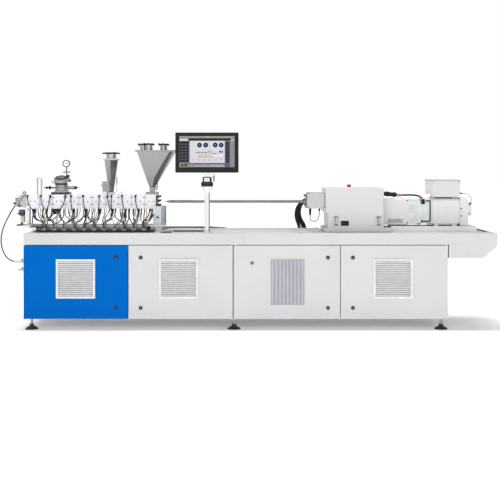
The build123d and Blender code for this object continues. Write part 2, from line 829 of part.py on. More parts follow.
def barrel_covers():
    """Folded insulating covers over the top and both sides of each barrel, resting on the flanges."""
    inner, outer = FLANGE_SIZE / 2, FLANGE_SIZE / 2 + COVER_SHEET
    covers = []
    for i in range(BARREL_COUNT):
        left = BARREL_LEFT + i * BARREL_LENGTH + COVER_GAP / 2
        right = left + BARREL_LENGTH - COVER_GAP
        shell = block((left, -outer, AXIS + outer - COVER_DROP), (right, outer, AXIS + outer))
        shell -= block((left - 1, -inner, AXIS - 2 * outer), (right + 1, inner, AXIS + inner))
        for x, width in ports():
            if left < x < right:
                half = width / 2 + PORT_WALL + PORT_CLEARANCE
                shell -= block((x - half, -half, AXIS), (x + half, half, AXIS + 2 * outer))
        covers.append(shell)
    return solids_of(covers + side_caps())


def side_caps():
    """The raised caps on the covers, left and right of the side hopper's neck."""
    caps = []
    for side in (-1, 1):
        near = SIDE_HOPPER_X + side * (SIDE_NECK / 2 + PORT_CLEARANCE)
        low, high = sorted((near, SIDE_HOPPER_X + side * CAP_REACH))
        top = BARREL_TOP + CAP_HEIGHT
        caps.append(block((low, -CAP_HALF_DEPTH, BARREL_TOP), (high, CAP_HALF_DEPTH, top)))
    return caps


def guide_rails():
    rails = None
    for y in (-RAIL_OFFSET, RAIL_OFFSET):
        rail = block(
            (RAIL_LEFT, y - RAIL_WIDTH / 2, DECK_TOP), (RAIL_RIGHT, y + RAIL_WIDTH / 2, RAIL_TOP)
        )
        rails = rail if rails is None else rails + rail
    for x in (RAIL_LEFT + TIE_WIDTH, TIE_AT, RAIL_RIGHT - TIE_WIDTH):
        rails += block(
            (x - TIE_WIDTH / 2, -RAIL_OFFSET, DECK_TOP),
            (x + TIE_WIDTH / 2, RAIL_OFFSET, DECK_TOP + TIE_HEIGHT),
        )
    return rails


def carriage_base():
    """The plate under the barrel, with the column at its right end whose two cheeks straddle the gearbox neck."""
    right = COLUMN_LEFT + COLUMN_WIDTH
    plate = block((LEG_X - LEG_WIDTH / 2, PLATE_FRONT, PLATE_BOTTOM), (right, PLATE_BACK, PLATE_TOP))
    base = plate
    for y in (-1, 1):
        low, high = sorted((y * CHEEK_INNER, y * (CHEEK_INNER + CHEEK_THICK)))
        cheek = block((COLUMN_LEFT, low, PLATE_TOP), (right, high, AXIS - FLANGE_SIZE / 2 + 18))
        base += cheek
    top = AXIS - FLANGE_SIZE / 2 - COVER_SHEET
    base += block(
        (COLUMN_LEFT, -CHEEK_INNER, top - 26), (BARREL_RIGHT - 8, CHEEK_INNER, AXIS - FLANGE_SIZE / 2)
    )
    return base


def runners():
    """Four blocks that slide on the rails and carry the plate."""
    right = COLUMN_LEFT + COLUMN_WIDTH
    found = []
    for x in (RAIL_LEFT + RUNNER_FROM_LEFT, right - RUNNER_LENGTH - RUNNER_FROM_RIGHT):
        for y in (-RAIL_OFFSET, RAIL_OFFSET):
            runner = block(
                (x, y - RUNNER_WIDTH / 2, DECK_TOP + TIE_HEIGHT + SLIDE_CLEARANCE),
                (x + RUNNER_LENGTH, y + RUNNER_WIDTH / 2, PLATE_BOTTOM),
            )
            runner -= block(
                (x - 1, y - RAIL_WIDTH / 2 - RUNNER_PLAY, DECK_TOP),
                (x + RUNNER_LENGTH + 1, y + RAIL_WIDTH / 2 + RUNNER_PLAY, RAIL_TOP + RUNNER_PLAY),
            )
            found.append(runner)
    return solids_of(found)


def support_leg():
    low = block(
        (LEG_X - LEG_WIDTH / 2, -LEG_DEPTH / 2, PLATE_TOP),
        (LEG_X + LEG_WIDTH / 2, LEG_DEPTH / 2, AXIS - FLANGE_SIZE / 2),
    )
    return low


def plug_spots():
    """One heater plug under the middle of each barrel."""
    return [BARREL_LEFT + (i + 0.5) * BARREL_LENGTH for i in range(BARREL_COUNT)]


def collar_spots():
    middle = TRAY_LEFT + TRAY_LENGTH / 2
    return [middle + (i - (COLLAR_COUNT - 1) / 2) * COLLAR_PITCH for i in range(COLLAR_COUNT)]


def boot_top():
    return DECK_TOP + TRAY_CLEARANCE + TRAY_SHEET + COLLAR_HEIGHT + BOOT_HEIGHT


def cable_tray():
    """A folded shelf along the carriage's front, just above the deck, with a row of low wide collars whose
    boots take the leads."""
    low = DECK_TOP + TRAY_CLEARANCE
    right = TRAY_LEFT + TRAY_LENGTH
    web = PLATE_FRONT + TRAY_SHEET
    tray = block((TRAY_LEFT, TRAY_FRONT, low), (right, web, low + TRAY_SHEET))
    tray += block((TRAY_LEFT, PLATE_FRONT, low), (right, web, PLATE_BOTTOM))
    for x in collar_spots():
        tray += rod((x, COLLAR_ROW, low + TRAY_SHEET), "Z", COLLAR_RADIUS, COLLAR_HEIGHT)
        boot = Cone(BOOT_RADIUS, BOOT_TOP_RADIUS, BOOT_HEIGHT)
        tray += Pos(x, COLLAR_ROW, boot_top() - BOOT_HEIGHT / 2) * boot
    return tray


def heater_plugs():
    """A plug under each barrel, on its block between the flanges."""
    top = AXIS - BARREL_BLOCK / 2
    low, high = PLUG_ROW - PLUG_HALF, PLUG_ROW + PLUG_HALF
    plugs = [
        block((x - PLUG_HALF, low, top - PLUG_DROP), (x + PLUG_HALF, high, top)) for x in plug_spots()
    ]
    return solids_of(plugs)


def heater_leads():
    """A jacketed bundle from each plug, forward over the shelf and down into its collar's boot."""
    top = AXIS - BARREL_BLOCK / 2 - PLUG_DROP
    leads = []
    for x, collar in zip(plug_spots(), LEAD_COLLARS):
        foot = collar_spots()[collar]
        route = [(x + share * (foot - x), y, z) for share, y, z in LEAD_ROUTE]
        points = [(x, PLUG_ROW, top), *route, (foot, COLLAR_ROW, boot_top())]
        leads.append(tube_along(points, LEAD_RADIUS, "heater lead"))
    return solids_of(leads)


def sensor_leads():
    """The leads that hang down the covers' front, from a knob near the top edge to the plug below."""
    front = -(FLANGE_SIZE / 2 + COVER_SHEET)
    leads = []
    for x in SENSOR_SPOTS:
        plug = min(plug_spots(), key=lambda spot: abs(spot - x))
        foot = plug + max(-SENSOR_ENTRY, min(SENSOR_ENTRY, (x - plug) / 4))
        points = [(x + share * (foot - x), y, z) for share, y, z in SENSOR_ROUTE]
        lead = tube_along(points, SENSOR_LEAD, "sensor lead")
        leads.append(lead + rod((x, front, SENSOR_HEIGHT), "Y", SENSOR_KNOB, -SENSOR_REACH))
    return solids_of(leads)


def cooling_pipe():
    """The end of the water manifold, clipped to the front edge of the plate."""
    y = PLATE_FRONT - PIPE_RADIUS - FACE_SEAT
    return rod((PIPE_LEFT, y, PLATE_BOTTOM + PLATE_THICK / 2), "X", PIPE_RADIUS, PIPE_LENGTH)


def pipe_arch():
    """A bright bent tube that stands over the first barrels."""
    z = BARREL_TOP
    half = ARCH_WIDTH / 2
    middle = VENT_X - ARCH_FROM_VENT
    left, right = middle - half, middle + half
    points = [(left, 0, z), (left, 0, ARCH_TOP), (right, 0, ARCH_TOP), (right, 0, z)]
    return bent_rod(points, ARCH_RADIUS, half - 1)


def die_head():
    """The adapter flange and the round strand die on the barrel's left end. Its chamber takes the screws' tips
    when the barrel is run in, and ends before them in the outlet."""
    right = BARREL_LEFT
    half = FLANGE_SIZE / 2
    head = block((right - ADAPTER_LENGTH, -half + 6, AXIS - half + 6), (right, half - 6, AXIS + half - 6))
    head += rod((right - ADAPTER_LENGTH, 0, AXIS), "X", DIE_RADIUS, -DIE_LENGTH)
    chamber_end = SCREW_TIP - CARRIAGE_TRAVEL - TIP_CLEARANCE
    head -= figure_eight(chamber_end, right + 1)
    head -= rod((right, 0, AXIS), "X", DIE_OUTLET_RADIUS, -(ADAPTER_LENGTH + DIE_LENGTH + 1))
    x, y, z = sensor_middle()
    return head + rod((x, -DIE_RADIUS / 2, z), "Y", KNOB_RADIUS, y + SENSOR_RADIUS + FACE_SEAT + DIE_RADIUS / 2)


def sensor_middle():
    """Where the slanting sensor crosses its boss on the die."""
    (x_low, y, z_low), (x_high, _, z_high) = HOSE_ROUTE[0], SENSOR_TOP
    return ((x_low + x_high) / 2, y, (z_low + z_high) / 2)


def hose_points():
    """The hose's route, which leaves the sensor in line with it."""
    foot, top = Vector(*HOSE_ROUTE[0]), Vector(*SENSOR_TOP)
    out = foot - (top - foot).normalized() * HOSE_LEAD
    return [HOSE_ROUTE[0], (out.X, out.Y, out.Z), *HOSE_ROUTE[1:]]


def drain_valve():
    """The valve under the die, on its column and a shelf at the plate's end."""
    right = LEG_X - LEG_WIDTH / 2
    shelf = block((SHELF_LEFT, -SHELF_HALF_DEPTH, PLATE_BOTTOM), (right, SHELF_HALF_DEPTH, PLATE_TOP))
    column = rod((VALVE_BODY_X, 0, PLATE_TOP), "Z", VALVE_COLUMN_RADIUS, VALVE_BODY_BOTTOM - PLATE_TOP)
    body = rod((VALVE_BODY_X, 0, VALVE_BODY_BOTTOM), "Z", VALVE_BODY_RADIUS, VALVE_BODY_HEIGHT)
    body = chamfer(body.edges().filter_by(GeomType.CIRCLE), VALVE_BODY_EDGE)
    knob_z = VALVE_BODY_BOTTOM + VALVE_BODY_HEIGHT * 0.3
    knob = rod((VALVE_BODY_X, 0, knob_z), "Y", GATE_KNOB_RADIUS, -(VALVE_BODY_RADIUS + GATE_KNOB_REACH))
    return shelf + column + body + knob


def melt_sensor():
    """The slanting sensor in front of the die, from its top knob down to the hose's end."""
    foot, top = Vector(*HOSE_ROUTE[0]), Vector(*SENSOR_TOP)
    line = top - foot
    along = Plane(origin=foot, z_dir=line)
    stem = extrude(along * Circle(SENSOR_RADIUS), line.length)
    collar = extrude(along.offset(line.length * 0.2) * Circle(SENSOR_RADIUS + 5), 12)
    knob = extrude(along.offset(line.length - 22) * Circle(KNOB_RADIUS + 3), 30)
    return stem + collar + knob


def vacuum_vent():
    """The vent on a barrel's port: base flange, collar, round body with its slanting lid and sight glass, a
    clamp at the lid's side, and a turned nozzle to each side."""
    z = BARREL_TOP
    vent = None
    for width, depth, height in (VENT_BASE, VENT_COLLAR):
        step = block((VENT_X - width / 2, -depth / 2, z), (VENT_X + width / 2, depth / 2, z + height))
        vent = step if vent is None else vent + step
        z += height
    body = rod((VENT_X, 0, z), "Z", VENT_BODY_RADIUS, VENT_BODY_HEIGHT + VENT_BODY_RADIUS)
    seat = lid_seat()
    above = Box(4 * VENT_LID_RADIUS, 4 * VENT_LID_RADIUS, 2 * VENT_BODY_HEIGHT)
    body -= seat * Pos(0, 0, VENT_BODY_HEIGHT) * above
    disc = Pos(0, 0, VENT_LID_THICK / 2) * Cylinder(VENT_LID_RADIUS, VENT_LID_THICK)
    disc = fillet(disc.edges().group_by(Axis.Z)[-1], VENT_LID_EDGE)
    disc += Pos(0, 0, VENT_LID_THICK + VENT_GLASS_RIM / 2) * Cylinder(VENT_GLASS_RADIUS, VENT_GLASS_RIM)
    disc += Pos(VENT_LID_RADIUS, 0, VENT_LID_THICK / 2) * Cylinder(VENT_CLAMP_RADIUS, VENT_CLAMP_HEIGHT)
    x, y = VENT_X + GAUGE_OFFSET[0], GAUGE_OFFSET[1]
    boss_foot = vent_top() - GAUGE_BOSS_HEIGHT - VENT_LID_THICK / 2
    boss = rod((x, y, boss_foot), "Z", GAUGE_BOSS_RADIUS, vent_top() - boss_foot)
    vent += body + seat * disc + boss
    for side, profile in ((-1, VENT_LEFT_NOZZLE), (1, VENT_RIGHT_NOZZLE)):
        vent += Pos(VENT_X, 0, z + VENT_NOZZLE_LIFT) * nozzle(profile, side)
    return vent + port_tube(VENT_X, VENT_PORT, BARREL_TOP)


def lid_seat():
    """The middle of the vent body's slanting top, which leans to the front."""
    z = BARREL_TOP + VENT_BASE[2] + VENT_COLLAR[2] + VENT_BODY_HEIGHT
    return Pos(VENT_X, 0, z) * Rot(VENT_TILT, 0, 0)


def nozzle(profile, side):
    """A turned nozzle along X from reach and radius pairs."""
    first, last = profile[0], profile[-1]
    outline = [(0, 0), (0, first[1]), *profile, (last[0], 0)]
    half = make_face(Polyline(*[(side * reach, radius) for reach, radius in outline], close=True))
    return revolve(Plane.XZ * half, Axis.X)


def vent_top():
    """The top of the boss on the lid that carries the gauge."""
    lean = VENT_TILT * pi / 180
    seat_z = BARREL_TOP + VENT_BASE[2] + VENT_COLLAR[2] + VENT_BODY_HEIGHT
    return seat_z + VENT_LID_THICK / cos(lean) + GAUGE_OFFSET[1] * tan(lean) + GAUGE_BOSS_HEIGHT


def vent_gauge():
    """A round vacuum gauge on its stem and cross handle, facing the front."""
    z = vent_top()
    x, y = VENT_X + GAUGE_OFFSET[0], GAUGE_OFFSET[1]
    stem = rod((x, y, z), "Z", GAUGE_STEM, GAUGE_RISE)
    face = rod((x, y - GAUGE_DEPTH / 2, z + GAUGE_RISE), "Y", GAUGE_RADIUS, GAUGE_DEPTH)
    cross = rod((x - GAUGE_CROSS_LENGTH / 2, y, z + GAUGE_CROSS_LIFT), "X", GAUGE_STEM, GAUGE_CROSS_LENGTH)
    return stem + face + cross


def side_hopper():
    """A slim square hopper turned by 45 degrees, on its neck over one barrel, with its lid."""
    seat = BARREL_TOP
    outer_low = Plane(origin=(0, 0, SIDE_FOOT)) * Rectangle(SIDE_BOTTOM_WIDTH, SIDE_BOTTOM_WIDTH)
    outer_high = Plane(origin=(0, 0, SIDE_TOP)) * Rectangle(SIDE_TOP_WIDTH, SIDE_TOP_WIDTH)
    thin = 2 * SIDE_WALL
    low_inside, high_inside = SIDE_BOTTOM_WIDTH - thin, SIDE_TOP_WIDTH - thin
    inner_low = Plane(origin=(0, 0, SIDE_FOOT)) * Rectangle(low_inside, low_inside)
    inner_high = Plane(origin=(0, 0, SIDE_TOP)) * Rectangle(high_inside, high_inside)
    body = loft([outer_low.face(), outer_high.face()]) - loft([inner_low.face(), inner_high.face()])
    body = Rot(0, 0, 45) * body
    half_neck = SIDE_NECK / 2
    neck = block((-half_neck, -half_neck, seat), (half_neck, half_neck, SIDE_FOOT)) - block(
        (-SIDE_BOTTOM_WIDTH / 3, -SIDE_BOTTOM_WIDTH / 3, seat - 1),
        (SIDE_BOTTOM_WIDTH / 3, SIDE_BOTTOM_WIDTH / 3, SIDE_FOOT + 1),
    )
    return Pos(SIDE_HOPPER_X, 0, 0) * (body + neck) + port_tube(SIDE_HOPPER_X, VENT_PORT, seat)


def side_hopper_lid():
    collar_z = SIDE_TOP + SIDE_LID_THICK
    lid = block((-SIDE_LID / 2, -SIDE_LID / 2, SIDE_TOP), (SIDE_LID / 2, SIDE_LID / 2, collar_z))
    collar = rod((0, 0, collar_z), "Z", SIDE_LID / 2 - SPIGOT_RIM_HEIGHT, SIDE_COLLAR_HEIGHT)
    rim = rod((0, 0, collar_z + SIDE_COLLAR_HEIGHT), "Z", SIDE_LID / 2, SIDE_RIM_HEIGHT)
    return Pos(SIDE_HOPPER_X, 0, 0) * (lid + collar + rim)


def hopper_gate():
    """The gate's actuator on the left cap with its side knob, and the lock rod right of the side hopper."""
    left, front = SIDE_HOPPER_X + GATE_OFFSET[0], GATE_OFFSET[1]
    foot = BARREL_TOP + CAP_HEIGHT
    width, depth, height = GATE_SIZE
    actuator = block((left, front, foot), (left + width, front + depth, foot + height))
    actuator += rod((left, front + depth / 2, foot + height * 0.6), "X", GATE_KNOB_RADIUS, -GATE_KNOB_REACH)
    spot = (GATE_ROD_X, GATE_ROD_Y)
    lock = rod((*spot, BARREL_TOP + CAP_HEIGHT), "Z", GATE_ROD_RADIUS, GATE_ROD_TOP - BARREL_TOP - CAP_HEIGHT)
    lock += rod((*spot, GATE_ROD_TOP), "Z", GATE_SLEEVE_RADIUS, -GATE_SLEEVE_LENGTH)
    return solids_of([actuator, lock])


def main_hopper():
    """The stainless feed hopper, wide at the top and leaning right, on its square neck and flange."""
    top_middle = (MAIN_TOP_LEFT + MAIN_TOP_RIGHT) / 2
    top_width = MAIN_TOP_RIGHT - MAIN_TOP_LEFT
    shapes = []
    for inset in (0, MAIN_WALL):
        low = Plane(origin=(MAIN_HOPPER_X, 0, MAIN_NECK_TOP)) * Rectangle(
            MAIN_NECK - 2 * inset, MAIN_NECK - 2 * inset
        )
        high = Plane(origin=(top_middle, 0, MAIN_TOP)) * Rectangle(
            top_width - 2 * inset, 2 * MAIN_HALF_DEPTH - 2 * inset
        )
        shapes.append(loft([low.face(), high.face()]))
    body = shapes[0] - shapes[1]
    half, bore = MAIN_NECK / 2, MAIN_NECK / 2 - MAIN_WALL
    neck = block(
        (MAIN_HOPPER_X - half, -half, MAIN_NECK_BOTTOM), (MAIN_HOPPER_X + half, half, MAIN_NECK_TOP)
    )
    wide = MAIN_FLANGE_HALF
    flange = block(
        (MAIN_HOPPER_X - wide, -wide, BARREL_TOP), (MAIN_HOPPER_X + wide, wide, MAIN_NECK_BOTTOM)
    )
    through = block((MAIN_HOPPER_X - bore, -bore, AXIS), (MAIN_HOPPER_X + bore, bore, MAIN_NECK_TOP + 0.01))
    return body + (neck + flange - through) + port_tube(MAIN_HOPPER_X, FEED_PORT, BARREL_TOP)


def main_hopper_lid():
    """The hopper's flat lid, cut out for the three filling spigots."""
    edge = MAIN_LID_EDGE
    lid = block(
        (MAIN_TOP_LEFT - edge, -MAIN_HALF_DEPTH - edge, MAIN_TOP),
        (MAIN_TOP_RIGHT + edge, MAIN_HALF_DEPTH + edge, MAIN_TOP + MAIN_LID_THICK),
    )
    for x, y in SPIGOT_SPOTS:
        lid -= rod((x, y, MAIN_TOP - 1), "Z", SPIGOT_RADIUS + SPIGOT_PLAY, MAIN_LID_THICK + 2)
    return lid


def hopper_spigots():
    """Three open filling tubes through the lid, each with a thick rim and a collar that sits on the lid."""
    lid_top = MAIN_TOP + MAIN_LID_THICK
    height = MAIN_LID_THICK + SPIGOT_HEIGHT
    spigots = []
    for x, y in SPIGOT_SPOTS:
        tube = rod((x, y, MAIN_TOP), "Z", SPIGOT_RADIUS, height)
        tube += rod((x, y, lid_top), "Z", SPIGOT_RADIUS + SPIGOT_RIM, SPIGOT_COLLAR)
        rim_z = lid_top + SPIGOT_HEIGHT - SPIGOT_RIM_HEIGHT
        tube += rod((x, y, rim_z), "Z", SPIGOT_RADIUS + SPIGOT_RIM, SPIGOT_RIM_HEIGHT)
        spigots.append(tube - rod((x, y, MAIN_TOP - 1), "Z", SPIGOT_RADIUS - SPIGOT_WALL, height + 2))
    return solids_of(spigots)


# Drive


def gearbox_neck():
    """The square neck that the barrel meets when it is run in, with clearance holes for the screw shanks."""
    neck = block((NECK_FACE, -NECK_HALF, AXIS - NECK_HALF), (COVER_LEFT, NECK_HALF, AXIS + NECK_HALF))
    root = SCREW_DISTANCE - MESH_GAP - SCREW_DIAMETER / 2
    for y in (-SCREW_DISTANCE / 2, SCREW_DISTANCE / 2):
        neck -= rod((NECK_FACE - 1, y, AXIS), "X", root + PIN_PLAY, SHANK_LENGTH + 1)
    return neck


def gearbox_cover():
    """The painted hood over the reduction gearbox, stepped in at its lower left, on a base plate that stands
    clear of the deck by a shadow gap."""
    bottom = DECK_TOP + COVER_FOOT
    depth = COVER_HALF_DEPTH
    hood = block((COVER_LEFT, -depth, bottom), (COVER_RIGHT, depth, COVER_TOP))
    hood -= block(
        (COVER_LEFT - 1, -depth - 1, bottom - 1), (COVER_LEFT + COVER_STEP, depth + 1, COVER_STEP_TOP)
    )
    hood = fillet(hood.edges().filter_by(Axis.Z) + hood.edges().group_by(Axis.Z)[-1], COVER_RADIUS)
    left, right = COVER_LEFT - BASE_PLATE_REACH, PLINTH_LEFT - BASE_PLATE_REACH
    deep = depth + BASE_PLATE_REACH
    plate = block((left, -deep, DECK_TOP + SHADOW_GAP), (right, deep, bottom))
    inset = SHADOW_INSET
    foot = block(
        (left + inset, -deep + inset, DECK_TOP), (right - inset, deep - inset, DECK_TOP + SHADOW_GAP)
    )
    return hood + plate + foot


def cover_handles():
    """Two grips on the hood's front: a shallow tray with an upright bow in it."""
    handles = []
    y = -COVER_HALF_DEPTH
    half, side = HANDLE_SPAN / 2, HANDLE_TRAY / 2
    low, high = HANDLE_HEIGHT - half, HANDLE_HEIGHT + half
    floor = y - HANDLE_RIM / 3
    for x in HANDLE_SPOTS:
        tray = block((x - side, y - HANDLE_RIM, low), (x + side, y, high))
        tray -= block(
            (x - side + HANDLE_WALL, y - 2 * HANDLE_RIM, low + HANDLE_WALL),
            (x + side - HANDLE_WALL, floor, high - HANDLE_WALL),
        )
        foot, top = low + HANDLE_BEND, high - HANDLE_BEND
        reach = y - HANDLE_REACH
        points = [(x, floor, foot), (x, reach, foot), (x, reach, top), (x, floor, top)]
        handles.append(tray + bent_rod(points, HANDLE_RADIUS, HANDLE_BEND))
    return solids_of(handles)


def coupling_lantern():
    """The square housing between gearbox and clutch, hollow, with a window low in its front."""
    left, right = COVER_RIGHT, COVER_RIGHT + LANTERN_LENGTH
    lantern = square_bar(left, right, LANTERN_HALF)
    lantern = fillet(lantern.edges().filter_by(Axis.X), LANTERN_CORNER)
    lantern -= square_bar(left + LANTERN_WALL, right - LANTERN_WALL, LANTERN_HALF - LANTERN_WALL)
    window_left = left + WINDOW_FROM_LEFT
    return lantern - block(
        (window_left, -LANTERN_HALF - 1, SHAFT_HEIGHT + WINDOW_LOW),
        (window_left + WINDOW_LENGTH, -LANTERN_HALF + LANTERN_WALL + 1, SHAFT_HEIGHT + WINDOW_HIGH),
    )


def square_bar(left, right, half):
    """A square bar around the drive's axis."""
    return block((left, -half, SHAFT_HEIGHT - half), (right, half, SHAFT_HEIGHT + half))


def torque_clutch():
    """The overload clutch's square housing, with cooling grooves and a pocket in its front and back."""
    left = COVER_RIGHT + LANTERN_LENGTH
    clutch = square_bar(left, left + CLUTCH_LENGTH, CLUTCH_HALF)
    clutch = chamfer(clutch.edges().filter_by(Axis.X), CLUTCH_BEVEL)
    middle = left + CLUTCH_LENGTH / 2
    width, depth, height = POCKET_SIZE
    groove = Box(CLUTCH_LENGTH - 2 * CLUTCH_RIM, 2 * GROOVE_DEPTH, GROOVE_WIDTH)
    for y in (-CLUTCH_HALF, CLUTCH_HALF):
        for i in range(GROOVE_COUNT):
            clutch -= Pos(middle, y, SHAFT_HEIGHT + GROOVE_LOWEST + i * GROOVE_PITCH) * groove
        clutch -= Pos(middle, y, SHAFT_HEIGHT + POCKET_MIDDLE) * Box(width, 2 * depth, height)
    return clutch


def flange_plates():
    """The two square plates between clutch and motor, with the smaller core between them."""
    left = COVER_RIGHT + LANTERN_LENGTH + CLUTCH_LENGTH
    plates = square_bar(left, left + FLANGE_PLATES, FLANGE_CORE_HALF)
    for x in (left, left + FLANGE_PLATES - FLANGE_PLATE_THICK):
        plates += square_bar(x, x + FLANGE_PLATE_THICK, FLANGE_PLATE_HALF)
    return plates


def motor_left():
    return COVER_RIGHT + LANTERN_LENGTH + CLUTCH_LENGTH + FLANGE_PLATES


def drive_motor():
    """The motor's smooth square body with bevelled edges, between its end shields, on two foot strips."""
    left, right = motor_left(), motor_left() + MOTOR_LENGTH
    body = square_bar(left + MOTOR_SHIELD, right - MOTOR_SHIELD, MOTOR_HALF)
    body = chamfer(body.edges().filter_by(Axis.X), MOTOR_BEVEL)
    core = square_bar(left, right, MOTOR_HALF - MOTOR_SHIELD_STEP)
    body += chamfer(core.edges().filter_by(Axis.X), MOTOR_BEVEL)
    wide = MOTOR_HALF - MOTOR_BEVEL
    for x in (left + MOTOR_FOOT_INSET, right - MOTOR_FOOT_INSET - MOTOR_FOOT_WIDTH):
        body += block(
            (x, -wide, DECK_TOP + PLINTH_HEIGHT), (x + MOTOR_FOOT_WIDTH, wide, SHAFT_HEIGHT - MOTOR_HALF)
        )
    return body


def motor_fan_cover():
    """The housing on the motor's end, rounded at its outer top, with a connector block and its two sockets."""
    left = motor_left() + MOTOR_LENGTH
    right = left + FAN_COVER_LENGTH
    cover = square_bar(left, right, FAN_COVER_HALF)
    cover = fillet(cover.edges().filter_by(Axis.Y).group_by(Axis.Z)[-1].sort_by(Axis.X)[-1], FAN_COVER_CORNER)
    width, depth, height = CONNECTOR_BLOCK
    low = connector_bottom()
    cover += block((right, -FAN_COVER_HALF, low), (right + width, -FAN_COVER_HALF + depth, low + height))
    for z in connector_heights():
        cover += rod((right + width / 2, -FAN_COVER_HALF, z), "Y", CONNECTOR_KNOB, -CONNECTOR_REACH)
    return cover


def connector_bottom():
    return SHAFT_HEIGHT + CONNECTOR_LIFT


def connector_heights():
    low = connector_bottom()
    return (low + CONNECTOR_INSET, low + CONNECTOR_BLOCK[2] - CONNECTOR_INSET)


def motor_terminal_box():
    left = terminal_left()
    low = terminal_bottom()
    width, depth, height = TERMINAL_BOX
    box = block((left, TERMINAL_FRONT, low), (left + width, TERMINAL_FRONT + depth, low + height))
    box = fillet(box.edges().filter_by(Axis.Z), TERMINAL_CORNER)
    return box + block(
        (left + STAND_INSET, -STAND_HALF_DEPTH, SHAFT_HEIGHT + MOTOR_HALF),
        (left + width - STAND_INSET, STAND_HALF_DEPTH, low),
    )


def terminal_left():
    return motor_left() + TERMINAL_OFFSET


def terminal_bottom():
    return SHAFT_HEIGHT + MOTOR_HALF + TERMINAL_LIFT


def drive_cables():
    """The drive's cables: the loom from the hood to the elbow on the flange plates with the pipe that runs on
    down from it, the lead under the terminal box, and the lead to the connector block."""
    front = -FLANGE_PLATE_HALF
    width, depth, height = ELBOW_SIZE
    loom = tube_along(LOOM_ROUTE, LOOM_RADIUS, "loom")
    near, far = Vector(*LOOM_ROUTE[2]), Vector(*LOOM_ROUTE[3])
    low, high = (near + (far - near) * share for share in LOOM_PLUG_SHARES)
    loom += extrude(Plane(origin=low, z_dir=high - low) * Circle(LOOM_PLUG_RADIUS), (high - low).length)
    elbow_low = (ELBOW_LEFT, front - depth, ELBOW_BOTTOM)
    loom += block(elbow_low, (ELBOW_LEFT + width, front, ELBOW_BOTTOM + height))
    row = front - SUPPLY_RADIUS - FACE_SEAT
    supply = [
        (ELBOW_LEFT + width / 2, row, SUPPLY_TOP),
        (SUPPLY_X, row, SUPPLY_TOP),
        (SUPPLY_X, row, SUPPLY_FOOT),
        (SUPPLY_LEFT, row, SUPPLY_FOOT),
    ]
    loom += bent_rod(supply, SUPPLY_RADIUS, SUPPLY_BEND)
    plate_top = SHAFT_HEIGHT + FLANGE_PLATE_HALF
    plate_x = motor_left() - FLANGE_PLATE_THICK / 2
    box_x = terminal_left() + TERMINAL_BOX[0] - STAND_INSET / 2
    under = [
        (plate_x, UNDER_BOX_ROW, plate_top),
        (plate_x, UNDER_BOX_ROW, UNDER_BOX_HEIGHT),
        (box_x, UNDER_BOX_ROW, UNDER_BOX_HEIGHT),
        (box_x, UNDER_BOX_ROW, terminal_bottom()),
    ]
    under_box = bent_rod(under, UNDER_BOX_RADIUS, UNDER_BOX_HEIGHT - plate_top - 1)
    start = (terminal_left() + TERMINAL_BOX[0], ENCODER_ROUTE[0][1], ENCODER_ROUTE[0][2])
    encoder = tube_along([start, *ENCODER_ROUTE, encoder_end()], ENCODER_RADIUS, "encoder lead")
    return solids_of([loom, under_box, encoder])


def encoder_end():
    """The top of the upper socket on the connector block."""
    x = motor_left() + MOTOR_LENGTH + FAN_COVER_LENGTH + CONNECTOR_BLOCK[0] / 2
    return (x, -FAN_COVER_HALF - CONNECTOR_REACH / 2, connector_heights()[-1] + CONNECTOR_KNOB + ENCODER_SEAT)


def motor_plinth():
    return block(
        (PLINTH_LEFT, -PLINTH_HALF_DEPTH, DECK_TOP),
        (PLINTH_RIGHT, PLINTH_HALF_DEPTH, DECK_TOP + PLINTH_HEIGHT),
    )


def junction_box():
    """The sensor junction box at the gearbox's corner, with glands on its left side and a bracket behind."""
    width, depth, height = JUNCTION_SIZE
    low = (JUNCTION_LEFT, JUNCTION_FRONT, JUNCTION_HEIGHT)
    box = block(low, (low[0] + width, low[1] + depth, low[2] + height))
    box = fillet(box.edges().filter_by(Axis.Y), JUNCTION_CORNER)
    for lift in JUNCTION_GLANDS:
        gland = (low[0], low[1] + depth / 2, low[2] + lift)
        box += rod(gland, "X", JUNCTION_GLAND_RADIUS, -JUNCTION_GLAND_REACH)
    inset, bracket_low, bracket_high = JUNCTION_BRACKET
    return box + block(
        (low[0] + width, low[1] + inset, low[2] + bracket_low),
        (COVER_LEFT, low[1] + depth - inset, low[2] + bracket_high),
    )


def conduits():
    """Corrugated conduits from the gearbox hood's left wall down into the deck, spreading towards the foot."""
    tubes = []
    for i, y in enumerate(CONDUIT_ROWS):
        route = CONDUIT_ROUTE + [(CONDUIT_FOOT, DECK_TOP + CONDUIT_PLATE[2])]
        points = [(x + i * spread, y, z) for (x, z), spread in zip(route, CONDUIT_SPREAD)]
        tubes.append(tube_along(points, CONDUIT_RADIUS, "conduit"))
    return solids_of(tubes)


def conduit_plate():
    """The black entry plate where the conduits go down through the deck."""
    width, depth, thick = CONDUIT_PLATE
    x, y = CONDUIT_FOOT + CONDUIT_SPREAD[-1] / 2, sum(CONDUIT_ROWS) / 2
    return block((x - width / 2, y - depth / 2, DECK_TOP), (x + width / 2, y + depth / 2, DECK_TOP + thick))


def monitor_post():
    post = rod((POST_X, POST_Y, DECK_TOP), "Z", POST_RADIUS, CONE_BOTTOM - DECK_TOP)
    post += rod((POST_X, POST_Y, DECK_TOP), "Z", POST_FLANGE, POST_FLANGE_THICK)
    cone = Cone(POST_RADIUS, CONE_RADIUS, CONE_TOP - CONE_BOTTOM)
    cone = Pos(POST_X, POST_Y, (CONE_BOTTOM + CONE_TOP) / 2) * cone
    spindle = rod((POST_X, POST_Y, CONE_TOP), "Z", SPINDLE_RADIUS, RING_TOP - CONE_TOP - 6)
    return post + cone + spindle


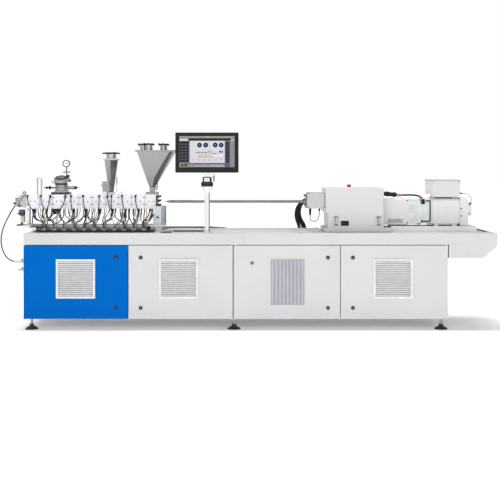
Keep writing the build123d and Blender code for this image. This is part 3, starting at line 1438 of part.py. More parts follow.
def monitor_swivel():
    """The head that turns on the post's spindle, and the fork that carries the monitor."""
    head = rod((POST_X, POST_Y, CONE_TOP + FACE_SEAT), "Z", RING_RADIUS, RING_TOP - CONE_TOP)
    head -= rod((POST_X, POST_Y, CONE_TOP - 1), "Z", SPINDLE_RADIUS + PIN_PLAY, RING_TOP - CONE_TOP - 4)
    head += rod((POST_X, POST_Y, RING_TOP), "Z", COUPLING_RADIUS, COUPLING_TOP - RING_TOP)
    fork = block(
        (POST_X - FORK_LEFT, POST_Y - FORK_HALF_DEPTH, COUPLING_TOP),
        (POST_X + FORK_RIGHT, POST_Y + FORK_HALF_DEPTH, MONITOR_BOTTOM),
    )
    fork = chamfer(fork.edges().filter_by(Axis.Y).group_by(Axis.Z)[0], FORK_CHAMFER)
    return head + fork


def monitor_box():
    half_w, half_t = MONITOR_WIDTH / 2, MONITOR_THICK / 2
    return (
        (POST_X - half_w, MONITOR_CENTRE_Y - half_t, MONITOR_BOTTOM),
        (POST_X + half_w, MONITOR_CENTRE_Y + half_t, MONITOR_BOTTOM + MONITOR_HEIGHT),
    )


def screen_box():
    low, high = monitor_box()
    return (
        (low[0] + BEZEL_SIDE, low[1] + 1, low[2] + BEZEL_CHIN),
        (high[0] - BEZEL_SIDE, low[1] + 1 + SCREEN_THICK, high[2] - BEZEL_TOP),
    )


def monitor_housing():
    low, high = monitor_box()
    housing = block(low, high)
    housing = chamfer(housing.faces().sort_by(Axis.Y)[-1].edges(), MONITOR_BACK_CHAMFER)
    housing = fillet(housing.edges().filter_by(Axis.Y), MONITOR_CORNER)
    pocket_low, pocket_high = screen_box()
    return housing - block((pocket_low[0], low[1] - 1, pocket_low[2]), pocket_high)


def monitor_screen():
    return block(*screen_box())


def water_valves():
    """Two valve blocks on the cabinet's left end, the upper with the hose's socket."""
    valves = []
    for z in VALVE_HEIGHTS:
        valve = rod((CABINET_LEFT, VALVE_Y, z), "X", VALVE_RADIUS, -VALVE_LENGTH)
        valve += rod((CABINET_LEFT - VALVE_LENGTH * 0.4, VALVE_Y, z), "Z", VALVE_RADIUS - 3, VALVE_STEM)
        valves.append(valve)
    return solids_of(valves)


def build():
    nodes.update(
        cabinet_base=cabinet_base(),
        cabinet_posts=cabinet_posts(),
        cabinet_top_frame=cabinet_top_frame(),
        cabinet_panels=cabinet_panels(),
        bench_deck=bench_deck(),
        end_bracket=end_bracket(),
        levelling_feet=levelling_feet(),
        guide_rails=guide_rails(),
        screw_front=screw(-SCREW_DISTANCE / 2, 0),
        screw_back=screw(SCREW_DISTANCE / 2, pi / 2),
        carriage_base=carriage_base(),
        carriage_runners=runners(),
        support_leg=support_leg(),
        cable_tray=cable_tray(),
        heater_plugs=heater_plugs(),
        heater_leads=heater_leads(),
        sensor_leads=sensor_leads(),
        cooling_pipe=cooling_pipe(),
        pipe_arch=pipe_arch(),
        barrels=barrels(),
        barrel_covers=barrel_covers(),
        die_head=die_head(),
        drain_valve=drain_valve(),
        melt_sensor=melt_sensor(),
        vacuum_vent=vacuum_vent(),
        vent_gauge=vent_gauge(),
        side_hopper=side_hopper(),
        side_hopper_lid=side_hopper_lid(),
        hopper_gate=hopper_gate(),
        main_hopper=main_hopper(),
        main_hopper_lid=main_hopper_lid(),
        hopper_spigots=hopper_spigots(),
        gearbox_neck=gearbox_neck(),
        gearbox_cover=gearbox_cover(),
        cover_handles=cover_handles(),
        coupling_lantern=coupling_lantern(),
        torque_clutch=torque_clutch(),
        flange_plates=flange_plates(),
        drive_motor=drive_motor(),
        motor_fan_cover=motor_fan_cover(),
        motor_terminal_box=motor_terminal_box(),
        motor_plinth=motor_plinth(),
        drive_cables=drive_cables(),
        junction_box=junction_box(),
        conduits=conduits(),
        conduit_plate=conduit_plate(),
        monitor_post=monitor_post(),
        monitor_swivel=monitor_swivel(),
        monitor_housing=monitor_housing(),
        monitor_screen=monitor_screen(),
        water_valves=water_valves(),
        die_hose=tube_along(hose_points(), HOSE_RADIUS, "die hose"),
    )
    for number in range(4):
        nodes[f"door_{number + 1}"] = door(number)
        grille_of = slotted_vent(number) if GRILLE_OFFSETS[number] is None else grille(number)
        nodes[f"door_{number + 1}_grille"] = grille_of


build()
os.makedirs("parts", exist_ok=True)
for name, shape in nodes.items():
    export_step(shape, f"parts/{name}.step")
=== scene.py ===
"""Dresses the twin-screw extruder for its picture: camera, hoses and cables, finishes, and the small
fittings on its solids. Places are in millimetres until a piece is finished, and then in metres."""

import json
import math
import random

import bmesh
import bpy
from mathutils import Matrix, Vector


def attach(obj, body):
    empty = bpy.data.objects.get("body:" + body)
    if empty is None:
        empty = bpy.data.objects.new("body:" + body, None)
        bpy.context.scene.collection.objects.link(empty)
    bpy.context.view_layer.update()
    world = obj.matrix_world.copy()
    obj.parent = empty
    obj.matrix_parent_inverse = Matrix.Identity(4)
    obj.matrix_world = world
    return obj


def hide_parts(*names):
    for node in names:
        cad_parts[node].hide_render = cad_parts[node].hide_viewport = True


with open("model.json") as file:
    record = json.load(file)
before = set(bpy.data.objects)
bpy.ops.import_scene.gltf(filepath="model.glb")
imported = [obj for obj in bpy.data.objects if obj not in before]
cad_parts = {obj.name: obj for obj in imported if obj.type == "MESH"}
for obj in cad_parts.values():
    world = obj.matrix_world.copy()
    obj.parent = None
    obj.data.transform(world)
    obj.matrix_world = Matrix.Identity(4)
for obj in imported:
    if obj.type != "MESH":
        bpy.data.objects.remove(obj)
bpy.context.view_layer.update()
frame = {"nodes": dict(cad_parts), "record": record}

MM = 0.001
DOOR_FACE = -400
LOCK_HEIGHTS = (182, 597)
GRILLE_HEIGHT = 422
FLEECE_HALF = 144.3
PANE_LEFT, PANE_RIGHT, PANE_PLEATS = 172, 448, 9
DECK_TOP = 797
SCREW_HEIGHT = 1049
SCREW_ROW = 11.925
SCREW_RADIUS = 14.15
SCREW_DISTANCE = 23.25
SCREW_TURNS = 21
FLIGHTS_START = 476
FLIGHTS_LENGTH = 1177
COVER_FACE = -60
BARREL_LEFT = -1923
BARREL_PITCH = 113.2
COVER_GAP = 2.5
COVER_LENGTH = 108.2
GAUGE_X, GAUGE_FACE, GAUGE_HEIGHT = -1591, 12, 1376
FAR_LEFT = -9000
CHANCE = random.Random(28)

# Routes, as in the part's source

HOSE_ROUTE = [
    (-2007, -70.3, 1024), (-2035.499, -70.3, 985.377), (-2058, -122, 926), (-2074, -194, 864), (-2084, -252, 796),
    (-2079, -304, 718), (-2054, -340, 642), (-2012, -354, 586), (-1966, -358, 560), (-1920, -358, 560),
]
CONDUIT_ROUTE = [
    (634, 1080), (588, 1080), (528, 1076), (470, 1052), (424, 1006), (404, 944), (410, 886), (428, 842),
    (434, 822), (434, 802),
]
CONDUIT_SPREAD = (0, 0, 4, 12, 22, 30, 38, 48, 50, 50)
CONDUIT_ROWS = (182, 213)
HEATER_SHARES = (
    (0, -26, 942), (0.12, -48, 914), (0.35, -90, 897), (0.62, -142, 889), (0.85, -194, 883), (0.97, -234, 869),
    (1, -250, 846),
)
COLLARS = [-1730 + 84 * number for number in range(11)]
COLLAR_OF_PLUG = (0, 1, 2, 3, 4, 5, 6, 8, 9, 10)
PLUGS = [BARREL_LEFT + BARREL_PITCH * (number + 0.5) for number in range(10)]
SENSORS = (-1911, -1796, -1715, -1586, -1537, -1433, -1294, -1223, -1191, -1099, -983)
SENSOR_SHARES = (
    (0, -70, 1093), (0.1, -72, 1058), (0.35, -75, 1026), (0.65, -74, 1004), (0.9, -64, 988), (1, -42.4, 984),
)
LOOM_ROUTE = [
    (1127, -60, 1118), (1158, -60, 1118), (1198, -62, 1109), (1290, -70, 1104), (1352, -84, 1107),
    (1412, -104, 1106), (1452, -119, 1094), (1474, -124, 1070),
]
SUPPLY_ROUTE = [
    (1475, -117.3, 1056), (1521, -117.3, 1056), (1537, -117.3, 1056), (1537, -117.3, 1040),
    (1537, -117.3, 898), (1537, -117.3, 882), (1521, -117.3, 882), (1478, -117.3, 882),
]
UNDER_BOX_ROUTE = [
    (1537, -98, 1076), (1537, -98, 1088), (1548, -98, 1088), (1751, -98, 1088), (1762, -98, 1088),
    (1762, -98, 1112),
]
ENCODER_ROUTE = [
    (1787, -118, 1121), (1818, -118, 1121), (1856, -120, 1114), (1884, -124, 1090), (1889, -126, 1058),
    (1876, -126, 1030),
]
PROBE_ROUTE = [
    (587, -182, 995), (587, -182, 962), (584, -182, 922), (566, -182, 892), (540, -182, 884),
    (516, -182, 892), (509, -182, 908), (509, -182, 936),
]


# Camera


def set_up_camera():
    """A level camera far in front of the doors, with its frame moved down as in the photograph."""
    lens = bpy.data.cameras.new("front_camera")
    lens.sensor_width = 36
    lens.lens = 72.44
    lens.shift_y = -0.16
    camera = bpy.data.objects.new("front_camera", lens)
    camera.location = (0, -8.7, 1.32)
    camera.rotation_euler = (math.radians(90), 0, 0)
    bpy.context.scene.collection.objects.link(camera)
    bpy.context.scene.camera = camera


# Shader helpers


def srgb(red, green, blue):
    """A seen colour, 0 to 255, as the linear colour that a shader takes."""
    shares = [value / 255 for value in (red, green, blue)]
    return tuple(s / 12.92 if s <= 0.04045 else ((s + 0.055) / 1.055) ** 2.4 for s in shares) + (1.0,)


def shade(colour, factor, lift=0.0):
    """A darker or lighter colour of the same kind."""
    return tuple(min(1.0, factor * part + lift) for part in colour[:3]) + (1.0,)


def feed(tree, socket, value):
    """Links an output to a socket, or sets the socket's own value."""
    if isinstance(value, bpy.types.NodeSocket):
        tree.links.new(value, socket)
    else:
        socket.default_value = value


def node(tree, kind, settings=None, **inputs):
    """A node with its settings and inputs. Spaces in an input's name are written as underscores."""
    made = tree.nodes.new(kind)
    for name, value in (settings or {}).items():
        setattr(made, name, value)
    for name, value in inputs.items():
        feed(tree, made.inputs[name.replace("_", " ")], value)
    return made


def calculate(tree, operation, *values, clamp=False):
    """A Math node's result."""
    made = tree.nodes.new("ShaderNodeMath")
    made.operation = operation
    made.use_clamp = clamp
    for socket, value in zip(made.inputs, values):
        feed(tree, socket, value)
    return made.outputs[0]


def blended(tree, share, first, second):
    """The first colour turning into the second by a share from 0 to 1."""
    mix = tree.nodes.new("ShaderNodeMix")
    mix.data_type = "RGBA"
    for number, value in ((0, share), (6, first), (7, second)):
        feed(tree, mix.inputs[number], value)
    return mix.outputs[2]


def ranged(tree, value, low, high, to_low, to_high):
    """A value taken from one range to another and held inside it."""
    made = node(tree, "ShaderNodeMapRange", Value=value, From_Min=low, From_Max=high, To_Min=to_low, To_Max=to_high)
    return made.outputs[0]


def noise(tree, place, size, detail=3.0):
    return node(tree, "ShaderNodeTexNoise", Vector=place, Scale=size, Detail=detail).outputs["Fac"]


def start_group(name, takes, gives):
    """An empty node group with named inputs and outputs."""
    group = bpy.data.node_groups.new(name, "ShaderNodeTree")
    for label, kind in takes:
        group.interface.new_socket(name=label, in_out="INPUT", socket_type="NodeSocket" + kind)
    for label, kind in gives:
        group.interface.new_socket(name=label, in_out="OUTPUT", socket_type="NodeSocket" + kind)
    return group, group.nodes.new("NodeGroupInput").outputs, group.nodes.new("NodeGroupOutput").inputs


# Surface effects that several finishes share


def make_workshop_soiling():
    """Slow clouding of a colour, with a little dust on what faces up."""
    takes = (("Place", "Vector"), ("Facing", "Vector"), ("Colour", "Color"), ("Soil", "Color"),
             ("Cloud Size", "Float"), ("Soiling", "Float"))
    group, source, sink = start_group("workshop_soiling", takes, (("Colour", "Color"), ("Dust", "Float")))
    cloud = noise(group, source["Place"], source["Cloud Size"], 4.0)
    share = ranged(group, cloud, 0.42, 0.72, 0.0, source["Soiling"])
    clouded = blended(group, share, source["Colour"], source["Soil"])
    upward = node(group, "ShaderNodeSeparateXYZ", Vector=source["Facing"]).outputs["Z"]
    lying = ranged(group, upward, 0.6, 1.0, 0.0, 0.2)
    speck = ranged(group, noise(group, source["Place"], 45.0, 6.0), 0.45, 0.7, 0.0, 1.0)
    dust = calculate(group, "MULTIPLY", lying, speck)
    feed(group, sink["Colour"], blended(group, dust, clouded, srgb(176, 172, 166)))
    feed(group, sink["Dust"], dust)
    return group


def make_grain():
    """Fine even grain, as on sprayed paint, a cast skin, rubber or moulded plastic, with wiped patches."""
    takes = (("Place", "Vector"), ("Grain Size", "Float"), ("Smooth", "Float"), ("Rough", "Float"))
    group, source, sink = start_group("grain", takes, (("Roughness", "Float"), ("Height", "Float")))
    wiped = noise(group, source["Place"], 7.0, 5.0)
    feed(group, sink["Roughness"], ranged(group, wiped, 0.35, 0.7, source["Smooth"], source["Rough"]))
    feed(group, sink["Height"], noise(group, source["Place"], source["Grain Size"], 2.5))
    return group


def make_tool_marks():
    """Fine parallel lines left by brushing, turning or grinding, and faint stains across them."""
    takes = (("Place", "Vector"), ("Stretch", "Vector"), ("Smooth", "Float"), ("Rough", "Float"))
    gives = (("Roughness", "Float"), ("Height", "Float"), ("Stain", "Float"))
    group, source, sink = start_group("tool_marks", takes, gives)
    drawn = node(group, "ShaderNodeVectorMath", {"operation": "MULTIPLY"})
    feed(group, drawn.inputs[0], source["Place"])
    feed(group, drawn.inputs[1], source["Stretch"])
    lines = noise(group, drawn.outputs[0], 1.0, 4.0)
    feed(group, sink["Roughness"], ranged(group, lines, 0.3, 0.7, source["Smooth"], source["Rough"]))
    feed(group, sink["Height"], lines)
    feed(group, sink["Stain"], ranged(group, noise(group, source["Place"], 14.0, 5.0), 0.5, 0.75, 0.0, 1.0))
    return group


def make_scratches():
    """Thin scattered scratches, as a mask."""
    takes = (("Place", "Vector"), ("Size", "Float"))
    group, source, sink = start_group("scratches", takes, (("Mask", "Float"),))
    bent = noise(group, source["Place"], source["Size"], 1.0)
    line = calculate(group, "ABSOLUTE", calculate(group, "SUBTRACT", bent, 0.5))
    thin = ranged(group, line, 0.0, 0.004, 1.0, 0.0)
    patch = ranged(group, noise(group, source["Place"], 5.0, 2.0), 0.56, 0.62, 0.0, 1.0)
    feed(group, sink["Mask"], calculate(group, "MULTIPLY", thin, patch))
    return group


def make_level():
    """A mask that is 1 above a height and to the right of a place along X."""
    takes = (("Place", "Vector"), ("Height", "Float"), ("Left", "Float"))
    group, source, sink = start_group("level", takes, (("Mask", "Float"),))
    apart = node(group, "ShaderNodeSeparateXYZ", Vector=source["Place"])
    above = calculate(group, "GREATER_THAN", apart.outputs["Z"], source["Height"])
    right = calculate(group, "GREATER_THAN", apart.outputs["X"], source["Left"])
    feed(group, sink["Mask"], calculate(group, "MULTIPLY", above, right))
    return group


def make_braid():
    """The crossed strands of a braided sleeve, from a UV map that runs round and along it."""
    takes = (("Wrap", "Vector"), ("Strands", "Float"), ("Turns", "Float"))
    group, source, sink = start_group("braid", takes, (("Height", "Float"),))
    apart = node(group, "ShaderNodeSeparateXYZ", Vector=source["Wrap"])
    round_it = calculate(group, "MULTIPLY", apart.outputs["X"], source["Strands"])
    along = calculate(group, "MULTIPLY", apart.outputs["Y"], source["Turns"])
    waves = []
    for operation in ("ADD", "SUBTRACT"):
        turn = calculate(group, operation, round_it, along)
        waves.append(calculate(group, "SINE", calculate(group, "MULTIPLY", turn, 2 * math.pi)))
    feed(group, sink["Height"], ranged(group, calculate(group, "MULTIPLY", *waves), -1.0, 1.0, 0.0, 1.0))
    return group


SOILING = make_workshop_soiling()
GRAIN = make_grain()
TOOL_MARKS = make_tool_marks()
SCRATCHES = make_scratches()
LEVEL = make_level()
BRAID = make_braid()


# Finishes


def use(tree, group, **inputs):
    """A node group placed in a finish with its own values."""
    return node(tree, "ShaderNodeGroup", {"node_tree": group}, **inputs).outputs


class Finish:
    """A finish under way: its material, its shader, and where and how the surface lies."""

    def __init__(self, name):
        self.material = bpy.data.materials.new(name)
        self.material.use_nodes = True
        self.tree = self.material.node_tree
        self.shader = self.tree.nodes["Principled BSDF"]
        self.place = node(self.tree, "ShaderNodeTexCoord").outputs["Object"]
        self.facing = node(self.tree, "ShaderNodeNewGeometry").outputs["Normal"]

    def set(self, **inputs):
        for name, value in inputs.items():
            feed(self.tree, self.shader.inputs[name.replace("_", " ")], value)

    def soiled(self, colour, soil, cloud_size, soiling):
        return use(self.tree, SOILING, Place=self.place, Facing=self.facing, Colour=colour, Soil=soil,
                   Cloud_Size=cloud_size, Soiling=soiling)

    def raised(self, height, strength, depth):
        bump = node(self.tree, "ShaderNodeBump", Height=height, Strength=strength, Distance=depth)
        self.set(Normal=bump.outputs["Normal"])


def painted(name, colour, smooth=0.32, rough=0.46, peel=330.0, sheen=0.4):
    """Sprayed machine enamel with a slight orange peel, a few rubbed scratches and some dust."""
    coat = Finish(name)
    soiled = coat.soiled(colour, shade(colour, 0.86), 2.6, 0.35)
    scratch = use(coat.tree, SCRATCHES, Place=coat.place, Size=6.0)["Mask"]
    rubbed = shade(colour, 0.8, 0.04)
    faint = calculate(coat.tree, "MULTIPLY", scratch, 0.4)
    skin = use(coat.tree, GRAIN, Place=coat.place, Grain_Size=peel, Smooth=smooth, Rough=rough)
    coat.set(Base_Color=blended(coat.tree, faint, soiled["Colour"], rubbed), Roughness=skin["Roughness"],
             Specular_IOR_Level=sheen)
    coat.raised(skin["Height"], 0.12, 0.0006)
    return coat.material


def cast(name, colour, grain=520.0, strength=0.35):
    """A painted casting: rough skin under paint, a little darker in random clouds."""
    coat = Finish(name)
    soiled = coat.soiled(colour, shade(colour, 0.78), 16.0, 0.5)
    skin = use(coat.tree, GRAIN, Place=coat.place, Grain_Size=grain, Smooth=0.42, Rough=0.62)
    coat.set(Base_Color=soiled["Colour"], Roughness=skin["Roughness"])
    coat.raised(skin["Height"], strength, 0.0008)
    return coat.material


def moulded(name, colour, smooth=0.4, rough=0.58, grain=900.0, sheen=0.22):
    """Moulded plastic or matt black steel with a fine texture and rubbed patches."""
    coat = Finish(name)
    soiled = coat.soiled(colour, shade(colour, 1.25, 0.012), 22.0, 0.6)
    skin = use(coat.tree, GRAIN, Place=coat.place, Grain_Size=grain, Smooth=smooth, Rough=rough)
    coat.set(Base_Color=soiled["Colour"], Roughness=skin["Roughness"], Specular_IOR_Level=sheen)
    coat.raised(skin["Height"], 0.3, 0.0004)
    return coat.material


def steel(name, colour, stretch, smooth=0.22, rough=0.42, stain=0.25, right_side_shade=0.0):
    """Bare steel with tool marks: the stretch is high across the lines and low along them. Faces turned to the
    right can be given painted shade, a darker colour that stands in for the shade on that side."""
    coat = Finish(name)
    marks = use(coat.tree, TOOL_MARKS, Place=coat.place, Stretch=stretch, Smooth=smooth, Rough=rough)
    dark = shade(colour, 0.7)
    share = calculate(coat.tree, "MULTIPLY", marks["Stain"], stain)
    lined = blended(coat.tree, ranged(coat.tree, marks["Height"], 0.35, 0.65, 0.0, 0.3), colour, dark)
    # Painted shade: faces turned to the right are darkened in colour, standing in for the shade on that side.
    if right_side_shade:
        right = node(coat.tree, "ShaderNodeSeparateXYZ", Vector=coat.facing).outputs["X"]
        lined = blended(coat.tree, ranged(coat.tree, right, 0.3, 0.85, 0.0, right_side_shade), lined, shade(colour, 0.2))
    coat.set(Base_Color=blended(coat.tree, share, lined, dark), Roughness=marks["Roughness"], Metallic=1.0)
    coat.raised(marks["Height"], 0.15, 0.0003)
    return coat.material


def two_tone(name, below, above, height, left=FAR_LEFT, metal=(0.0, 0.0), gloss=(0.5, 0.35)):
    """One node with two finishes, parted at a height, and optionally at a place along X."""
    coat = Finish(name)
    mask = use(coat.tree, LEVEL, Place=coat.place, Height=height * MM, Left=left * MM)["Mask"]
    colour = blended(coat.tree, mask, below, above)
    deep = blended(coat.tree, mask, shade(below, 0.8), shade(above, 0.8))
    soiled = coat.soiled(colour, deep, 24.0, 0.5)
    skin = use(coat.tree, GRAIN, Place=coat.place, Grain_Size=700.0, Smooth=0.0, Rough=0.14)
    shine = ranged(coat.tree, mask, 0.0, 1.0, gloss[0], gloss[1])
    coat.set(Base_Color=soiled["Colour"], Roughness=calculate(coat.tree, "ADD", shine, skin["Roughness"]))
    if metal[0] != metal[1]:
        coat.set(Metallic=ranged(coat.tree, mask, 0.0, 1.0, metal[0], metal[1]))
    coat.raised(skin["Height"], 0.2, 0.0004)
    return coat.material


def braided(name, light, dark):
    """A braided sleeve, its strands drawn from the sleeve's own UV map."""
    coat = Finish(name)
    wrap = node(coat.tree, "ShaderNodeUVMap", {"uv_map": "wrap"}).outputs["UV"]
    strands = use(coat.tree, BRAID, Wrap=wrap, Strands=8.0, Turns=160.0)["Height"]
    skin = use(coat.tree, GRAIN, Place=coat.place, Grain_Size=600.0, Smooth=0.4, Rough=0.6)
    coat.set(Base_Color=blended(coat.tree, strands, dark, light), Roughness=skin["Roughness"])
    coat.raised(strands, 0.6, 0.0008)
    return coat.material


def pleated(name, crown, pleat_shade_and_soil, left, pitch):
    """Pleated fleece: upright pleats from a place along X, with painted shade that darkens the hollow of each
    pleat, under a little random clouding.
    """
    coat = Finish(name)
    across = node(coat.tree, "ShaderNodeSeparateXYZ", Vector=coat.place).outputs["X"]
    along = calculate(coat.tree, "SUBTRACT", across, left * MM)
    # Painted shade: the colour darkens toward the hollow of each pleat.
    wave = calculate(coat.tree, "COSINE", calculate(coat.tree, "MULTIPLY", along, 2 * math.pi / (pitch * MM)))
    share = ranged(coat.tree, wave, -1.0, 1.0, 0.0, 1.0)
    soiled = coat.soiled(blended(coat.tree, share, crown, pleat_shade_and_soil), pleat_shade_and_soil, 9.0, 0.25)
    skin = use(coat.tree, GRAIN, Place=coat.place, Grain_Size=1400.0, Smooth=0.6, Rough=0.8)
    coat.set(Base_Color=soiled["Colour"], Roughness=skin["Roughness"])
    coat.raised(skin["Height"], 0.5, 0.0006)
    return coat.material


def lit_panel(name):
    """The screen's picture: every area has its own tint, slightly lit, under faint wiping marks."""
    coat = Finish(name)
    tint = node(coat.tree, "ShaderNodeAttribute", {"attribute_name": "tint"}).outputs["Color"]
    skin = use(coat.tree, GRAIN, Place=coat.place, Grain_Size=1500.0, Smooth=0.12, Rough=0.3)
    coat.set(Base_Color=tint, Emission_Color=tint, Emission_Strength=0.04, Roughness=skin["Roughness"],
             Specular_IOR_Level=0.15)
    coat.raised(skin["Height"], 0.04, 0.0001)
    return coat.material


def dark_glass(name):
    coat = Finish(name)
    soiled = coat.soiled(srgb(92, 98, 104), srgb(60, 62, 66), 30.0, 0.6)
    skin = use(coat.tree, GRAIN, Place=coat.place, Grain_Size=60.0, Smooth=0.04, Rough=0.12)
    coat.set(Base_Color=soiled["Colour"], Roughness=skin["Roughness"], Coat_Weight=0.8)
    coat.raised(skin["Height"], 0.02, 0.0002)
    return coat.material


ALONG_X = (6.0, 1400.0, 1400.0)
ALONG_Z = (1400.0, 1400.0, 6.0)
ROUND_X = (1600.0, 30.0, 30.0)
ROUND_Z = (30.0, 30.0, 1600.0)

DOOR_GREY = painted("door_enamel_grey", srgb(201, 201, 202))
DOOR_BLUE = painted("door_enamel_blue", srgb(0, 98, 184), 0.3, 0.42, sheen=0.02)
POST_ENAMEL = painted("post_enamel", srgb(220, 220, 221))
FRAME_ENAMEL = painted("frame_enamel", srgb(206, 206, 207))
HOOD_ENAMEL = painted("hood_enamel", srgb(206, 206, 208))
LANTERN_ENAMEL = painted("lantern_enamel", srgb(222, 223, 224))
MOTOR_ENAMEL = painted("motor_enamel", srgb(222, 223, 225), 0.3, 0.42)
TERMINAL_ENAMEL = painted("terminal_box_enamel", srgb(208, 209, 210), 0.3, 0.42)
# Painted light: the plinth's enamel is a lighter copy of the machine's paint, standing in for light that its shaded
# place doesn't get.
PLINTH_LIGHTENED_ENAMEL = painted("plinth_with_painted_light", srgb(240, 240, 240))
BOX_ENAMEL = painted("junction_box_enamel", srgb(186, 187, 188), 0.4, 0.52)
COVER_ENAMEL = painted("cover_enamel", srgb(242, 242, 247), 0.4, 0.56, 520.0)
CAST_ENAMEL = cast("cast_enamel", srgb(226, 229, 229))
GATE_ENAMEL = cast("gate_enamel", srgb(152, 153, 156))
VALVE_ENAMEL = cast("valve_enamel", srgb(104, 104, 98))
VALVE_BODY = cast("valve_body_beige", srgb(206, 192, 170))
LOUVRE_PLASTIC = moulded("louvre_plastic", srgb(212, 213, 215))
BLACK_STEEL = moulded("matt_black_steel", srgb(32, 32, 34), 0.35, 0.5, 600.0)
BLACK_PLASTIC = moulded("black_plastic", srgb(25, 25, 27))
GREY_PLASTIC = moulded("grey_plastic", srgb(104, 107, 111))
HOUSING_PLASTIC = moulded("monitor_housing_black", srgb(30, 31, 32), 0.4, 0.55, 1100.0, sheen=0.12)
RED_PLASTIC = moulded("red_cap_plastic", srgb(176, 40, 32), 0.3, 0.45)
OILER_PLASTIC = moulded("oiler_bowl", srgb(196, 184, 112), 0.2, 0.32, 300.0)
CABLE_RUBBER = moulded("cable_rubber", srgb(36, 35, 36), 0.5, 0.68, 1400.0)
GREY_RUBBER = moulded("grey_cable", srgb(128, 128, 130), 0.45, 0.6, 1400.0)
BROWN_RUBBER = moulded("brown_cable", srgb(96, 82, 74), 0.5, 0.65, 1400.0)
PALE_RUBBER = moulded("pale_cable", srgb(182, 178, 172), 0.45, 0.6, 1400.0)
SPECKLED_BRAID = cast("speckled_braid", srgb(150, 142, 136), 1900.0, 0.9)
FILTER_FLEECE = cast("filter_fleece", srgb(178, 178, 178), 1400.0, 0.9)
# The pleated fleece's second colour is painted shade for the hollows between its pleats.
PLEATED_FLEECE = pleated("pleated_fleece", srgb(176, 177, 183), srgb(146, 147, 155), PANE_LEFT,
                          (PANE_RIGHT - PANE_LEFT) / PANE_PLEATS)
STEEL_BRAID = braided("steel_braid", srgb(142, 140, 138), srgb(52, 50, 50))
# Both stainless finishes carry painted shade on faces turned to the right.
HOPPER_STEEL = steel("brushed_stainless", srgb(180, 180, 181), ALONG_Z, 0.3, 0.48, right_side_shade=0.9)
# Painted shade: a darker copy of the brushed stainless, for the main hopper and its lid.
HOPPER_SHADED_STEEL = steel("painted_shade_hopper_steel", srgb(148, 148, 149), ALONG_Z, 0.3, 0.48, right_side_shade=0.75)
# Painted shade: the dark steel of the sheet along the main hopper's right edge.
HOPPER_SHADE_SHEET_STEEL = steel("hopper_painted_shade_sheet", srgb(82, 82, 84), ALONG_Z, 0.3, 0.48)
RAIL_STEEL = steel("ground_rail_steel", srgb(226, 227, 229), ALONG_X)
BARREL_STEEL = steel("barrel_steel", srgb(168, 168, 172), ROUND_X)
TURNED_STEEL = steel("turned_steel", srgb(186, 187, 190), ROUND_Z)
SCREW_STEEL = steel("ground_screw_steel", srgb(150, 150, 154), ROUND_X, 0.2, 0.36)
PIPE_STEEL = steel("drawn_pipe", srgb(190, 191, 194), ALONG_X)
DARK_PIPE = steel("dark_pipe", srgb(122, 124, 122), ALONG_X, 0.3, 0.5)
COPPER = steel("copper_sleeve", srgb(204, 134, 100), ROUND_X, 0.3, 0.5)
SCREEN_PICTURE = lit_panel("screen_picture")
SIGHT_GLASS = dark_glass("sight_glass")
DIAL_WHITE = moulded("dial_white", srgb(236, 236, 232), 0.2, 0.3, 1500.0)

VENT_FINISH = two_tone("vent_cast_and_black_bar", srgb(44, 44, 47), srgb(150, 150, 152), 1127, -1690,
                       (0.0, 0.75), (0.2, 0.3))
SPIGOT_FINISH = two_tone("spigot_steel_and_rim", srgb(186, 187, 190), srgb(48, 48, 50), 1535,
                         metal=(0.9, 0.0), gloss=(0.28, 0.45))
SIDE_LID_FINISH = two_tone("side_lid_steel_and_rim", srgb(182, 183, 186), srgb(52, 52, 54), 1457,
                           metal=(0.9, 0.0), gloss=(0.28, 0.45))
FOOT_FINISH = two_tone("foot_rubber_and_stem", srgb(36, 36, 38), srgb(150, 151, 154), 44,
                       metal=(0.0, 0.9), gloss=(0.5, 0.3))
SWIVEL_FINISH = two_tone("swivel_ring_and_fork", srgb(30, 30, 32), srgb(222, 223, 225), 1262,
                         gloss=(0.4, 0.36))
TRAY_FINISH = two_tone("tray_black_and_grey", srgb(30, 30, 32), srgb(156, 156, 156), 815.5, gloss=(0.45, 0.4))
COLUMN_ENAMEL = two_tone("column_and_cheek", srgb(222, 225, 228), srgb(168, 171, 175), 853, -760, gloss=(0.4, 0.4))
GAUGE_BODY = steel("gauge_case", srgb(120, 121, 124), ROUND_Z)

